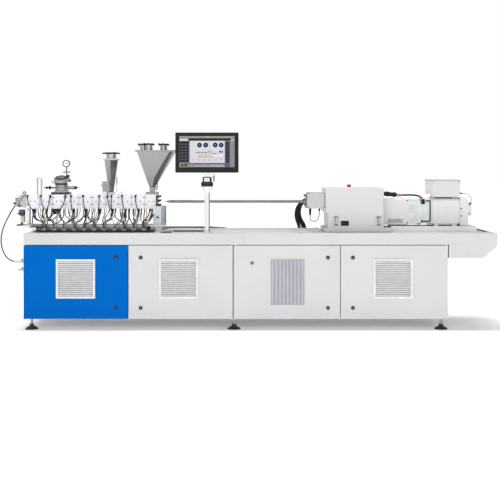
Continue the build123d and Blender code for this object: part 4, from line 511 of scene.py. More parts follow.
FINISH_OF_SLOT = {
    "frame_paint": FRAME_ENAMEL, "panel_grey": DOOR_GREY, "door_blue": DOOR_BLUE,
    "grille_white": LOUVRE_PLASTIC, "black_steel": BLACK_STEEL, "foot_black": FOOT_FINISH,
    "bright_steel": BARREL_STEEL, "screw_steel": SCREW_STEEL, "stainless": HOPPER_STEEL,
    "insulation_cover": COVER_ENAMEL, "cast_grey": CAST_ENAMEL, "motor_paint": MOTOR_ENAMEL,
    "hood_paint": HOOD_ENAMEL, "black_plastic": BLACK_PLASTIC, "grey_plastic": GREY_PLASTIC,
    "cable_black": CABLE_RUBBER, "hose_grey": GREY_RUBBER, "screen": HOUSING_PLASTIC, "gauge": GAUGE_BODY,
}
FINISH_OF_NODE = {
    "monitor_housing": HOUSING_PLASTIC, "monitor_swivel": SWIVEL_FINISH, "vacuum_vent": VENT_FINISH,
    "hopper_spigots": SPIGOT_FINISH, "side_hopper_lid": SIDE_LID_FINISH, "support_leg": RAIL_STEEL,
    "guide_rails": RAIL_STEEL, "carriage_runners": CAST_ENAMEL, "cable_tray": TRAY_FINISH,
    "monitor_post": POST_ENAMEL,
    "carriage_base": COLUMN_ENAMEL, "drain_valve": VALVE_ENAMEL, "cooling_pipe": DARK_PIPE,
    "die_head": TURNED_STEEL, "cover_handles": PIPE_STEEL, "melt_sensor": TURNED_STEEL,
    "water_valves": TURNED_STEEL, "pipe_arch": PIPE_STEEL, "hopper_gate": GATE_ENAMEL,
    "junction_box": BOX_ENAMEL, "motor_plinth": PLINTH_LIGHTENED_ENAMEL, "coupling_lantern": LANTERN_ENAMEL,
    "motor_terminal_box": TERMINAL_ENAMEL, "main_hopper": HOPPER_SHADED_STEEL, "main_hopper_lid": HOPPER_SHADED_STEEL,
}


def finish_cad_nodes():
    """Gives every node of the solid model the finish of its slot, or its own."""
    for part in frame["record"]["subparts"]:
        name = part["node"]
        finish = FINISH_OF_NODE.get(name, FINISH_OF_SLOT[part["material_slot"]])
        for place in frame["nodes"][name].material_slots:
            place.material = finish


SOFT_EDGES = {
    "bench_deck": 1.5, "cabinet_base": 1.0, "cabinet_panels": 1.0, "end_bracket": 1.5, "gearbox_cover": 1.2,
    "coupling_lantern": 1.2, "torque_clutch": 1.0, "flange_plates": 1.2, "drive_motor": 1.5,
    "motor_terminal_box": 1.5, "motor_fan_cover": 1.5, "motor_plinth": 1.0, "monitor_housing": 1.0,
    "carriage_base": 1.0, "carriage_runners": 1.5, "support_leg": 1.0, "gearbox_neck": 1.0, "main_hopper_lid": 0.8,
    "conduit_plate": 0.8, "junction_box": 0.8,
}


def soften_cad_edges():
    """Small worn radii on the sharp edges of box-like nodes."""
    for name, width in SOFT_EDGES.items():
        piece = frame["nodes"][name]
        weld = piece.modifiers.new("join_faces", "WELD")
        weld.merge_threshold = 1e-5
        bevel = piece.modifiers.new("soft_edges", "BEVEL")
        bevel.width = width * MM
        bevel.segments = 2
        bevel.limit_method = "ANGLE"
        bevel.angle_limit = math.radians(40)
        bevel.harden_normals = True


# Shapes, each one a bmesh in millimetres


def block(low, high, soft=0.0, segments=2):
    """A block between two corners, with its edges rounded by soft."""
    shape = bmesh.new()
    bmesh.ops.create_cube(shape, size=1)
    low, high = Vector(low), Vector(high)
    bmesh.ops.scale(shape, vec=high - low, verts=shape.verts)
    bmesh.ops.translate(shape, vec=(low + high) / 2, verts=shape.verts)
    if soft:
        bmesh.ops.bevel(shape, geom=shape.edges[:], offset=soft, segments=segments, profile=0.5,
                        affect="EDGES", material=-1)
    return shape


def turned(profile, sides=40):
    """A shape turned about Z from radius and height pairs."""
    shape = bmesh.new()
    points = [shape.verts.new((radius, 0, height)) for radius, height in profile]
    edges = [shape.edges.new(pair) for pair in zip(points, points[1:])]
    bmesh.ops.spin(shape, geom=points + edges, cent=(0, 0, 0), axis=(0, 0, 1), angle=2 * math.pi,
                   steps=sides, use_merge=True)
    bmesh.ops.remove_doubles(shape, verts=shape.verts, dist=1e-4)
    bmesh.ops.recalc_face_normals(shape, faces=shape.faces)
    return shape


def raised(corners, lift):
    """A plate from the corners of its outline, in order, raised along a vector."""
    shape = bmesh.new()
    points = [shape.verts.new(corner) for corner in corners]
    edges = [shape.edges.new(pair) for pair in zip(points, points[1:] + points[:1])]
    outline = bmesh.ops.contextual_create(shape, geom=edges)["faces"]
    lifted = bmesh.ops.extrude_face_region(shape, geom=outline)["geom"]
    points = [part for part in lifted if isinstance(part, bmesh.types.BMVert)]
    bmesh.ops.translate(shape, vec=lift, verts=points)
    bmesh.ops.recalc_face_normals(shape, faces=shape.faces)
    return shape


def disc(radius, height, soft=0.8, sides=40):
    """A flat disc that stands on Z = 0, its top edge chamfered."""
    return turned([(0, 0), (radius, 0), (radius, height - soft), (radius - soft, height), (0, height)], sides)


def ring(outer, inner, height, soft=0.6, sides=48):
    """A flat ring that stands on Z = 0."""
    return turned([(inner, 0), (outer, 0), (outer, height - soft), (outer - soft, height),
                   (inner + soft, height), (inner, height - soft), (inner, 0)], sides)


def cap_screw(radius, height, sides=14):
    """A socket cap screw's head: a low cylinder with a chamfer and a round socket."""
    well = radius * 0.5
    return turned([(radius, 0), (radius, height * 0.8), (radius * 0.85, height), (well, height),
                   (well, height * 0.5), (0, height * 0.5)], sides)


def hex_nut(across, height):
    """A hexagon with chamfered corners, on Z = 0."""
    shape = bmesh.new()
    bmesh.ops.create_cone(shape, cap_ends=True, segments=6, radius1=across / 2 / math.cos(math.pi / 6),
                          radius2=across / 2 / math.cos(math.pi / 6), depth=height)
    bmesh.ops.translate(shape, vec=(0, 0, height / 2), verts=shape.verts)
    bmesh.ops.bevel(shape, geom=shape.edges[:], offset=height * 0.12, segments=1, profile=0.5,
                    affect="EDGES", material=-1)
    return shape


def standing(place, direction=(0, 0, 1)):
    """The place of a shape that stands on a point and points in a direction."""
    return Matrix.Translation(place) @ Vector(direction).to_track_quat("Z", "Y").to_matrix().to_4x4()


def show_creases(shape, angle=32):
    """Smooth faces, with sharp edges where they turn by more than the angle."""
    limit = math.radians(angle)
    for face in shape.faces:
        face.smooth = True
    for edge in shape.edges:
        edge.smooth = len(edge.link_faces) == 2 and edge.calc_face_angle(math.pi) < limit


def piece(name, body, slot, shapes, stands_for=()):
    """One piece of the machine from shapes, each with its place and its finish."""
    whole = bmesh.new()
    finishes = []
    for shape, place, finish in shapes:
        if finish not in finishes:
            finishes.append(finish)
        for face in shape.faces:
            face.material_index = finishes.index(finish)
        bmesh.ops.transform(shape, matrix=place, verts=shape.verts)
        part = bpy.data.meshes.new("part")
        shape.to_mesh(part)
        shape.free()
        whole.from_mesh(part)
        bpy.data.meshes.remove(part)
    bmesh.ops.scale(whole, vec=(MM, MM, MM), verts=whole.verts)
    show_creases(whole)
    return settle(name, body, whole, finishes, stands_for)


def settle(name, body, shape, finishes, stands_for=()):
    """Makes a shape in metres an object of the scene that rides on a body."""
    mesh = bpy.data.meshes.new(name)
    shape.to_mesh(mesh)
    shape.free()
    for finish in finishes:
        mesh.materials.append(finish)
    made = bpy.data.objects.new(name, mesh)
    bpy.context.scene.collection.objects.link(made)
    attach(made, body)
    if stands_for:
        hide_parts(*stands_for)
    return made


HERE = Matrix.Identity(4)


# Cords


def nurbs(name, route):
    """A smooth line with the route's points, in millimetres, as its control points."""
    line = bpy.data.curves.new(name, "CURVE")
    line.dimensions = "3D"
    line.resolution_u = 10
    spline = line.splines.new("NURBS")
    spline.points.add(len(route) - 1)
    for point, (x, y, z) in zip(spline.points, route):
        point.co = (x * MM, y * MM, z * MM, 1)
    spline.order_u = 3
    spline.use_endpoint_u = True
    return line


def read_line(route):
    """Points in metres that lie on the route's smooth line."""
    line = nurbs("line_to_read", route)
    holder = bpy.data.objects.new("line_to_read", line)
    mesh = bpy.data.meshes.new_from_object(holder)
    points = [vertex.co.copy() for vertex in mesh.vertices]
    bpy.data.objects.remove(holder)
    bpy.data.curves.remove(line)
    bpy.data.meshes.remove(mesh)
    return points


def length_of(points):
    return sum((after - before).length for before, after in zip(points, points[1:]))


def round_cord(name, route, radius, finish, body, stands_for=(),
               declared=True):
    """A plain round cord along a route."""
    line = nurbs(name, route)
    line.bevel_depth = radius * MM
    line.bevel_resolution = 3
    line.use_fill_caps = True
    line.materials.append(finish)
    made = bpy.data.objects.new(name, line)
    bpy.context.scene.collection.objects.link(made)
    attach(made, body)
    if stands_for:
        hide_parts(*stands_for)
    if declared:
        points = read_line(route)
    return made


def evenly(points, step):
    """Points on a line at even steps along it, in the line's own units."""
    total = length_of(points)
    count = max(2, round(total / step))
    marks, walked, index = [], 0.0, 0
    for number in range(count + 1):
        target = total * number / count
        while index < len(points) - 2 and walked + (points[index + 1] - points[index]).length < target:
            walked += (points[index + 1] - points[index]).length
            index += 1
        run = points[index + 1] - points[index]
        share = min(1.0, (target - walked) / max(run.length, 1e-9))
        marks.append(points[index] + run * share)
    return marks


def sleeve(points, radii, sides=12):
    """A mesh sleeve of rings that follow points, with a UV map that runs round and along it."""
    shape = bmesh.new()
    wrap = shape.loops.layers.uv.new("wrap")
    tangents = [(after - before).normalized() for before, after in zip(points, points[1:])]
    tangents.append(tangents[-1])
    rim = bmesh.ops.create_circle(shape, segments=sides, radius=radii[0])["verts"]
    bmesh.ops.transform(shape, matrix=standing(points[0], tangents[0]), verts=rim)
    marks = {vert: (side / sides, 0.0) for side, vert in enumerate(rim)}
    edges, walked = set(shape.edges), 0.0
    for number in range(1, len(points)):
        grown = bmesh.ops.extrude_edge_only(shape, edges=list(edges))["geom"]
        edges = {part for part in grown if isinstance(part, bmesh.types.BMEdge) and len(part.link_faces) == 1}
        verts = list({vert for edge in edges for vert in edge.verts})
        walked += (points[number] - points[number - 1]).length
        for vert in verts:
            before = next(edge.other_vert(vert) for edge in vert.link_edges if edge not in edges)
            marks[vert] = (marks[before][0], walked)
        turn = tangents[number - 1].rotation_difference(tangents[number]).to_matrix().to_4x4()
        move = (Matrix.Translation(points[number]) @ turn @ Matrix.Scale(radii[number] / radii[number - 1], 4)
                @ Matrix.Translation(-points[number - 1]))
        bmesh.ops.transform(shape, matrix=move, verts=verts)
    for face in shape.faces:
        turns = [marks[corner.vert][0] for corner in face.loops]
        over_seam = max(turns) - min(turns) > 0.5
        for corner in face.loops:
            turn, far = marks[corner.vert]
            corner[wrap].uv = (turn + 1 if over_seam and turn < 0.5 else turn, far)
        face.smooth = True
    bmesh.ops.recalc_face_normals(shape, faces=shape.faces)
    return shape


def hose_piece(name, route, radii_at, step, finish, body, stands_for=()):
    """A sleeve or corrugated tube along a route."""
    points = evenly(read_line(route), step * MM)
    radii = [radii_at(number) * MM for number in range(len(points))]
    made = settle(name, body, sleeve(points, radii), [finish], stands_for)
    return made


def heater_route(number):
    """The route of a heater's bundle from its plug to its collar, as in the part's source."""
    plug, foot = PLUGS[number], COLLARS[COLLAR_OF_PLUG[number]]
    middle = [(plug + (foot - plug) * share, y, z) for share, y, z in HEATER_SHARES]
    return [(plug, -26, 973), *middle, (foot, -250, 826)]


def loosened(route, shift, sway):
    """A route moved sideways, its inner points swaying a little, its ends close to where they were."""
    last = len(route) - 1
    moved = []
    for number, point in enumerate(route):
        free = 0.25 if number in (0, last) else 1.0
        loose = sway if 1 < number < last - 1 else 0.0
        moved.append(tuple(c + s * free + CHANCE.uniform(-loose, loose) for c, s in zip(point, shift)))
    return moved


def make_heater_leads():
    """Each heater's bundle is four leads that run loosely side by side to one collar, the two thickest declared."""
    kinds = (
        (4.2, CABLE_RUBBER, (-7, -3, 2)), (4.0, CABLE_RUBBER, (6, 3, -3)), (3.0, GREY_RUBBER, (1, -7, 5)),
        (4.6, BROWN_RUBBER, (-2, 6, -5)),
    )
    for number in range(len(PLUGS)):
        route = heater_route(number)
        for strand, (radius, finish, shift) in enumerate(kinds):
            round_cord(f"heater_lead_{number + 1}_{strand + 1}", loosened(route, shift, 8), radius, finish,
                       "barrel_carriage", ["heater_leads"],
                       declared=strand in (0, 3))


def make_barrel_lines():
    """Water lines and spare leads that cross between the barrels' undersides and the collars."""
    finishes = (SPECKLED_BRAID, BROWN_RUBBER, CABLE_RUBBER, SPECKLED_BRAID, CABLE_RUBBER, PALE_RUBBER, BROWN_RUBBER)
    for number in range(56):
        x = -1842 + 18.4 * number + CHANCE.uniform(-8, 8)
        aim = x + CHANCE.uniform(-90, 90)
        collar = min(COLLARS, key=lambda spot: abs(spot - aim))
        foot, sway = collar + CHANCE.uniform(-12, 12), CHANCE.uniform(-30, 30)
        route = [(x, -44 + CHANCE.uniform(-6, 6), 996), (x, -56, 968)]
        for share, y, z in ((0.05, -92, 934), (0.3, -150, 902), (0.75, -206, 880), (1.0, -240, 860)):
            lean = sway * math.sin(math.pi * share) + CHANCE.uniform(-8, 8)
            route.append((x + (foot - x) * share + lean, y + CHANCE.uniform(-12, 12), z + CHANCE.uniform(-16, 16)))
        route.append((foot, -250 + CHANCE.uniform(-8, 8), 824))
        round_cord(f"barrel_line_{number + 1}", route, CHANCE.uniform(3.0, 5.6), finishes[number % 7],
                   "barrel_carriage", declared=False)


def make_sensor_leads():
    """The leads down the covers' front, each from its bayonet cap to the plug below."""
    caps = []
    for number, x in enumerate(SENSORS):
        plug = min(PLUGS, key=lambda spot: abs(spot - x))
        foot = plug + max(-9.0, min(9.0, (x - plug) / 4))
        route = [(x + (foot - x) * share, y, z) for share, y, z in SENSOR_SHARES]
        round_cord(f"sensor_lead_{number + 1}", route, 3.5, CABLE_RUBBER, "barrel_carriage",
                   ["sensor_leads"])
        cap = [(0, 0), (9.5, 0), (9.5, 3), (8, 4), (8, 12), (7, 14), (7, 18), (5, 20.5), (0, 21)]
        caps.append((turned(cap, 20), standing((x, COVER_FACE, 1097), (0, -1, 0)), BLACK_PLASTIC))
        boot = [(0, 0), (5.6, 0), (5.6, 3), (4.2, 16), (0, 16)]
        caps.append((turned(boot, 16), standing((x, -70, 1096), (0, 0, -1)), BLACK_PLASTIC))
    piece("sensor_caps", "barrel_carriage", "black_plastic", caps, ["sensor_leads"])


def make_conduits():
    """Two corrugated conduits with their glands at the hood and at the deck, and a plain cable between them."""
    fittings = []
    for number, y in enumerate(CONDUIT_ROWS):
        route = [(x + number * spread, y, z) for (x, z), spread in zip(CONDUIT_ROUTE, CONDUIT_SPREAD)]
        hose_piece(f"conduit_{number + 1}", route, lambda i: (15.0, 13.2)[i % 2], 3.4, CABLE_RUBBER, "machine",
                   ["conduits"])
        x, _, z = route[0]
        fittings.append((hex_nut(38, 12), standing((x, y, z), (-1, 0, 0)), BLACK_PLASTIC))
        fittings.append((turned([(0, 0), (18.5, 0), (18.5, 8), (16.4, 24), (0, 24)]),
                         standing((x - 11, y, z), (-1, 0, 0)), BLACK_PLASTIC))
        foot = route[-1]
        fittings.append((ring(21, 13, 7), standing(foot), BLACK_PLASTIC))
    between = [(x + 0.6 * spread, 198, z) for (x, z), spread in zip(CONDUIT_ROUTE, CONDUIT_SPREAD)]
    round_cord("conduit_3", between, 11, CABLE_RUBBER, "machine",
               declared=False)
    piece("conduit_glands", "machine", "black_plastic", fittings)


def make_drive_cables():
    """The drive's loom with its plug and elbow, the supply pipe, and two thin leads."""
    keep = ["drive_cables"]
    round_cord("drive_loom", LOOM_ROUTE, 8, CABLE_RUBBER, "machine",
               keep)
    round_cord("encoder_lead", ENCODER_ROUTE, 3, GREY_RUBBER, "machine",
               keep)
    round_cord("under_box_lead", UNDER_BOX_ROUTE, 4, CABLE_RUBBER, "machine",
               keep)
    round_cord("supply_pipe", SUPPLY_ROUTE, 5, CABLE_RUBBER, "machine",
               keep)
    plug = [(0, 0), (12, 0), (16, 8), (21, 12), (21, 50), (18, 52), (18, 78), (21, 80), (21, 100), (14, 112),
            (0, 114)]
    sleeve_end = [(0, 0), (13, 0), (13, 30), (10, 40), (0, 40)]
    shapes = [
        (turned(plug), standing((1146, -62, 1118), (1, -0.08, -0.1)), BLACK_PLASTIC),
        (turned(sleeve_end), standing((1258, -70, 1107), (1, -0.08, -0.1)), COPPER),
        (block((1462, -140, 1030), (1488, -112, 1072), 4), HERE, BLACK_PLASTIC),
        (disc(11, 9), standing((1475, -126, 1072)), TURNED_STEEL),
        (hex_nut(16, 9), standing((1488, -117.3, 1056), (1, 0, 0)), TURNED_STEEL),
        (hex_nut(16, 10), standing((1482, -117.3, 882), (-1, 0, 0)), TURNED_STEEL),
        (block((1462, -124, 872), (1480, -112, 892), 3), HERE, BLACK_PLASTIC),
        (turned([(0, 0), (8, 0), (8, 6), (3.6, 24), (0, 24)]), standing((1787, -118, 1121), (1, 0, 0)),
         BLACK_PLASTIC),
        (turned([(0, 0), (9, 0), (9, 8), (4, 22), (0, 22)]), standing((1876, -126, 1024)), BLACK_PLASTIC),
    ]
    piece("drive_plugs", "machine", "black_plastic", shapes, keep)


def make_hose():
    """The die's hose, from the sensor's foot down to the cabinet's upper water socket, with its ferrules."""
    hose_piece("die_hose_braid", HOSE_ROUTE, lambda i: 6.5, 5.0, STEEL_BRAID, "machine",
               ["die_hose"])
    start, after = Vector(HOSE_ROUTE[0]), Vector(HOSE_ROUTE[1])
    shapes = [
        (turned([(0, 0), (9, 0), (9, 12), (7.4, 14), (7.4, 26), (0, 26)]), standing(start, after - start),
         TURNED_STEEL),
        (turned([(0, 0), (9.5, 0), (9.5, 12), (7.6, 15), (7.6, 32), (0, 32)]),
         standing((-1920, -358, 560), (-1, 0, 0)), TURNED_STEEL),
    ]
    piece("hose_ferrules", "machine", "bright_steel", shapes)


def make_probe_lead():
    """A lead that leaves the junction box through a gland, with its plug hung up beside it."""
    gland = turned([(0, 0), (9, 0), (9, 8), (5, 26), (0, 26)])
    handle = turned([(0, 0), (12, 0), (12, 10), (10, 12), (10, 44), (6, 58), (0, 62)])
    down = (0, 0, -1)
    piece("probe_gland", "machine", "black_plastic", [(gland, standing((587, -182, 995), down), BLACK_PLASTIC)])
    plug = piece("probe_plug", "machine", "black_plastic",
                 [(handle, standing((509, -182, 995), down), BLACK_PLASTIC)])
    round_cord("probe_lead", PROBE_ROUTE, 4, GREY_RUBBER, "machine")


# Barrel unit


def make_heater_plugs():
    """A square connector under each barrel with its latch clip and a tapered boot over the leads."""
    shapes = []
    for x in PLUGS:
        shapes.append((block((x - 15, -41, 979), (x + 15, -11, 1003), 2), HERE, BLACK_PLASTIC))
        shapes.append((block((x - 12, -38, 968), (x + 12, -14, 980), 2), HERE, BLACK_PLASTIC))
        shapes.append((block((x - 10, -43, 984), (x + 10, -40, 999), 1), HERE, TURNED_STEEL))
        boot = [(0, 0), (11.5, 0), (11.5, 4), (10.5, 5), (10.5, 9), (8.5, 26), (0, 26)]
        shapes.append((turned(boot, 24), standing((x, -26, 969), (0, 0, -1)), BLACK_PLASTIC))
    piece("heater_connectors", "barrel_carriage", "black_plastic", shapes, ["heater_plugs"])


def make_cover_skirts():
    """Each cover's lower skirt on both sides, with a turned-in hem."""
    shapes = []
    for number in range(10):
        left = BARREL_LEFT + BARREL_PITCH * number + COVER_GAP
        right = left + COVER_LENGTH
        for side in (-1, 1):
            low, high = sorted((side * 60, side * 58.6))
            shapes.append((block((left, low, 989), (right, high, 1013.4), 0.3), HERE, COVER_ENAMEL))
            low, high = sorted((side * 60, side * 53))
            shapes.append((block((left + 1, low, 988), (right - 1, high, 989.4), 0.3), HERE, COVER_ENAMEL))
    piece("cover_skirts", "barrel_carriage", "insulation_cover", shapes)


def make_cover_screws():
    """Rows of small dark screws on the covers' front and back, and the clamp bolts at the last flange."""
    shapes = []
    for number in range(10):
        left = BARREL_LEFT + BARREL_PITCH * number + COVER_GAP
        right = left + COVER_LENGTH
        spots = [(left + 9, 1084), (left + 9, 1026), (right - 9, 1084), (right - 9, 1026),
                 (left + 33, 1050), (right - 33, 1050)]
        for side in (-1, 1):
            for x, z in spots:
                shapes.append((cap_screw(4.6, 3, 10), standing((x, side * 60, z), (0, side, 0)), BLACK_STEEL))
    for side in (-1, 1):
        for z in (1092, 1056, 1019):
            shapes.append((cap_screw(7.5, 13), standing((-798.5, side * 58, z), (0, side, 0)), BLACK_STEEL))
            shapes.append((disc(9.5, 15, 1.5, 24), standing((-781, side * 58, z), (0, side, 0)), BLACK_STEEL))
            low, high = sorted((side * 60, side * 68))
            shapes.append((block((-798, low, z - 4), (-781, high, z + 4), 1), HERE, BLACK_STEEL))
    shapes.append((block((-807, -66, 1010), (-794, -59.5, 1102), 2), HERE, BLACK_STEEL))
    piece("cover_screws", "barrel_carriage", "black_steel", shapes)


def make_barrel_fittings():
    """Bolts, clips, small valves and rims round the carriage, and the riser up to the first barrel."""
    shapes = [
        (cap_screw(9, 10), standing((-790, -92, 916), (0, -1, 0)), BLACK_STEEL),
        (cap_screw(9, 10), standing((-790, 92, 916), (0, 1, 0)), BLACK_STEEL),
        (cap_screw(7, 8), standing((-1913, -30, 985), (0, -1, 0)), BLACK_STEEL),
        (block((-1899, -36, 853), (-1891, -29, 990), 1), HERE, BLACK_STEEL),
        (block((-1694, -72, 940), (-1628, -46, 987), 6), HERE, BLACK_PLASTIC),
        (disc(14, 10, 2, 24), standing((-857, -180, 832), (0, -1, 0)), BLACK_PLASTIC),
        (block((-1742, -206, 828), (-1726, -178, 861), 3), HERE, BLACK_PLASTIC),
        (block((-1977, -36, 868), (-1944, 10, 926), 3), HERE, VALVE_BODY),
        (block((-2008, -52, 941), (-1936, -45, 949), 2), HERE, BLACK_STEEL),
        (disc(9, 14, 2, 24), standing((-2024, -52, 1033), (0, -1, 0)), BLACK_PLASTIC),
        (disc(10, 12, 2, 24), standing((-1984, -57, 1014), (0, -1, 0)), BLACK_PLASTIC),
        (ring(14, 8, 6, 1.5, 28), standing((-1981, -58, 1074), (0, -1, 0)), TURNED_STEEL),
        (block((-2014, -62, 1048), (-1960, -56, 1062), 2), HERE, TURNED_STEEL),
        (turned([(0, 0), (15, 0), (15, 8), (11, 12), (11, 20), (0, 20)]),
         standing((-1850, -191.3, 844.7), (-1, 0, 0)), TURNED_STEEL),
        (hex_nut(24, 10), standing((-1841, -191.3, 856)), TURNED_STEEL),
    ]
    for x in COLLARS:
        shapes.append((disc(41, 6, 1, 32), standing((x, -250, 797.6)), BLACK_PLASTIC))
    piece("carriage_fittings", "barrel_carriage", "black_steel", shapes)
    riser = [(-1841, -191.3, 850), (-1841, -191.3, 900), (-1841, -176, 930), (-1841, -92, 954),
             (-1841, -50, 972), (-1841, -46, 995)]
    points = evenly(read_line(riser), 6 * MM)
    settle("water_riser", "barrel_carriage", sleeve(points, [5 * MM] * len(points)), [BLACK_STEEL])


def self_wiping_radius(angle):
    """The distance from a screw's axis to its outline, for two flights whose tips sweep the other screw."""
    flank = 2 * math.acos(SCREW_DISTANCE / (2 * SCREW_RADIUS))
    tip = math.pi / 2 - flank
    from_tip = abs((angle + math.pi / 2) % math.pi - math.pi / 2)
    if from_tip <= tip / 2:
        return SCREW_RADIUS
    if from_tip >= math.pi / 2 - tip / 2:
        return SCREW_DISTANCE - SCREW_RADIUS
    turn = math.pi / 2 - tip / 2 - from_tip
    return math.sqrt(SCREW_DISTANCE ** 2 - (SCREW_RADIUS * math.sin(turn)) ** 2) - SCREW_RADIUS * math.cos(turn)


def screw_shapes(y, phase):
    """One screw of true arcs: its outline is spun along the axis, with a pointed tip and a plain shank."""
    shape = bmesh.new()
    outline = bmesh.ops.create_circle(shape, segments=44, radius=1)["verts"]
    for point in outline:
        angle = math.atan2(point.co.y, point.co.x)
        radius = self_wiping_radius(angle - phase)
        point.co = (FLIGHTS_START, y + radius * math.cos(angle), SCREW_HEIGHT + radius * math.sin(angle))
    rim = shape.edges[:]
    steps = 20 * SCREW_TURNS
    last = bmesh.ops.spin(shape, geom=outline + rim, cent=(0, y, SCREW_HEIGHT), axis=(1, 0, 0),
                          dvec=(-FLIGHTS_LENGTH / steps, 0, 0), angle=2 * math.pi * SCREW_TURNS,
                          steps=steps)["geom_last"]
    bmesh.ops.contextual_create(shape, geom=[part for part in last if isinstance(part, bmesh.types.BMEdge)])
    bmesh.ops.contextual_create(shape, geom=rim)
    bmesh.ops.recalc_face_normals(shape, faces=shape.faces)
    tip = turned([(9.1, -1), (9.1, 0), (6.5, 14), (3, 27), (1, 34), (0, 34)])
    shank = turned([(0, 0), (9.1, 0), (9.1, 148), (8, 149), (0, 149)])
    return [
        (shape, HERE, SCREW_STEEL),
        (tip, standing((FLIGHTS_START - FLIGHTS_LENGTH, y, SCREW_HEIGHT), (-1, 0, 0)), SCREW_STEEL),
        (shank, standing((FLIGHTS_START, y, SCREW_HEIGHT), (1, 0, 0)), SCREW_STEEL),
    ]


def make_screws():
    """Both screws, a quarter turn apart, in place of their plainer solids."""
    for name, body, y, phase in (("screw_front", "front_screw", -SCREW_ROW, 0.0),
                                 ("screw_back", "back_screw", SCREW_ROW, math.pi / 2)):
        piece(f"{name}_flights", body, "screw_steel", screw_shapes(y, phase), [name])


def make_vent_fittings():
    """The lid's black glass rim and sight glass, its clamp knobs and bolts, and the nozzles' knobs."""
    lid = Matrix.Translation((-1631, 0, 1229)) @ Matrix.Rotation(math.radians(20), 4, "X")
    shapes = [
        (ring(43, 33, 8, 1.5), lid @ Matrix.Translation((0, 0, 24)), BLACK_STEEL),
        (disc(33.5, 5.5, 1.5), lid @ Matrix.Translation((0, 0, 24)), SIGHT_GLASS),
    ]
    for number in range(6):
        turn = Matrix.Rotation(math.radians(60 * number + 30), 4, "Z")
        shapes.append((cap_screw(4.5, 5), lid @ turn @ Matrix.Translation((52, 0, 23.5)), BLACK_STEEL))
    knob = [(0, 0), (6, 0), (6, 4), (12, 6), (12, 16), (9, 19), (0, 20)]
    shapes.append((turned(knob, 24), lid @ standing((62, 0, 32)), BLACK_PLASTIC))
    shapes.append((turned(knob, 24), lid @ standing((64, 0, 2), (1, 0, -0.4)), BLACK_PLASTIC))
    shapes.append((hex_nut(22, 12), standing((-1752, 0, 1167), (-1, 0, 0)), BLACK_STEEL))
    for x in (-1702, -1560):
        for y in (-46, 46):
            shapes.append((cap_screw(5, 6), standing((x, y, 1127)), BLACK_STEEL))
    shapes.append((ring(53.5, 50.5, 5), standing((-1631, 0, 1148)), TURNED_STEEL))
    shapes.append((ring(54.5, 50.5, 13), standing((-1631, 0, 1192)), BLACK_STEEL))
    shapes.append((block((-1710, -22, 1200), (-1680, 14, 1224), 6), HERE, TURNED_STEEL))
    shapes.append((turned([(0, 0), (8, 0), (15, 6), (15, 24), (7, 34), (0, 36)], 24),
                   standing((-1528, 0, 1167), (1, 0, 0)), BLACK_PLASTIC))
    piece("vent_fittings", "barrel_carriage", "black_steel", shapes)


def make_gauge():
    """The vacuum gauge's dark rim, its white dial with marks, plain numbers, pointer and hub."""
    face = standing((GAUGE_X, GAUGE_FACE, GAUGE_HEIGHT), (0, -1, 0))
    shapes = [
        (ring(32, 25.5, 5, 1.4), face, BLACK_STEEL),
        (disc(26, 1.6, 0.4), face, DIAL_WHITE),
        (disc(3.6, 3.6), face, GREY_PLASTIC),
    ]
    for number in range(13):
        turn = Matrix.Rotation(math.radians(135 - 22.5 * number), 4, "Z")
        long = 5.5 if number % 3 == 0 else 3.5
        shapes.append((block((-0.45, 24 - long, 1.5), (0.45, 24, 1.8)), face @ turn, BLACK_PLASTIC))
    pointer = Matrix.Rotation(math.radians(-38), 4, "Z")
    shapes.append((block((-0.7, -7, 2.4), (0.7, 19, 3.0), 0.2), face @ pointer, BLACK_PLASTIC))
    piece("gauge_dial", "barrel_carriage", "gauge", shapes)
    for label, x, z in (("1", -13, -9), ("0.5", -9, 9), ("0", 12, -9)):
        number_on_dial(label, x, z)


def number_on_dial(label, x, z):
    """A plain number on the gauge's dial."""
    words = bpy.data.curves.new("dial_number", "FONT")
    words.body = label
    words.size = 7
    words.align_x = "CENTER"
    words.align_y = "CENTER"
    words.extrude = 0.1
    holder = bpy.data.objects.new("dial_number", words)
    mesh = bpy.data.meshes.new_from_object(holder)
    bpy.data.objects.remove(holder)
    shape = bmesh.new()
    shape.from_mesh(mesh)
    bpy.data.meshes.remove(mesh)
    place = Matrix.Translation((GAUGE_X + x, GAUGE_FACE - 1.9, GAUGE_HEIGHT + z))
    turn = place @ Matrix.Rotation(math.radians(90), 4, "X")
    bmesh.ops.transform(shape, matrix=turn, verts=shape.verts)
    name = "dial_number_" + label.replace(".", "_")
    piece(name, "barrel_carriage", "gauge", [(shape, HERE, BLACK_PLASTIC)])


def make_hopper_shade_sheet():
    """A dark sheet on the main hopper's front along its right edge, wide in the middle: painted shade that stands
    in for the shade on that side of the hopper.
    """
    outer, inner = [], []
    for share, width in ((1.0, 28), (0.633, 39), (0.266, 47), (0.02, 22)):
        x, y, z = -821 + 165 * share, -23.6 - 132 * share, 1167.8 + 308 * share
        outer.append((x, y, z))
        inner.append((x - width, y, z))
    sheet = raised(outer + inner[::-1], (0, -1.1, -0.5))
    piece("hopper_painted_shade_sheet", "barrel_carriage", "stainless", [(sheet, HERE, HOPPER_SHADE_SHEET_STEEL)])


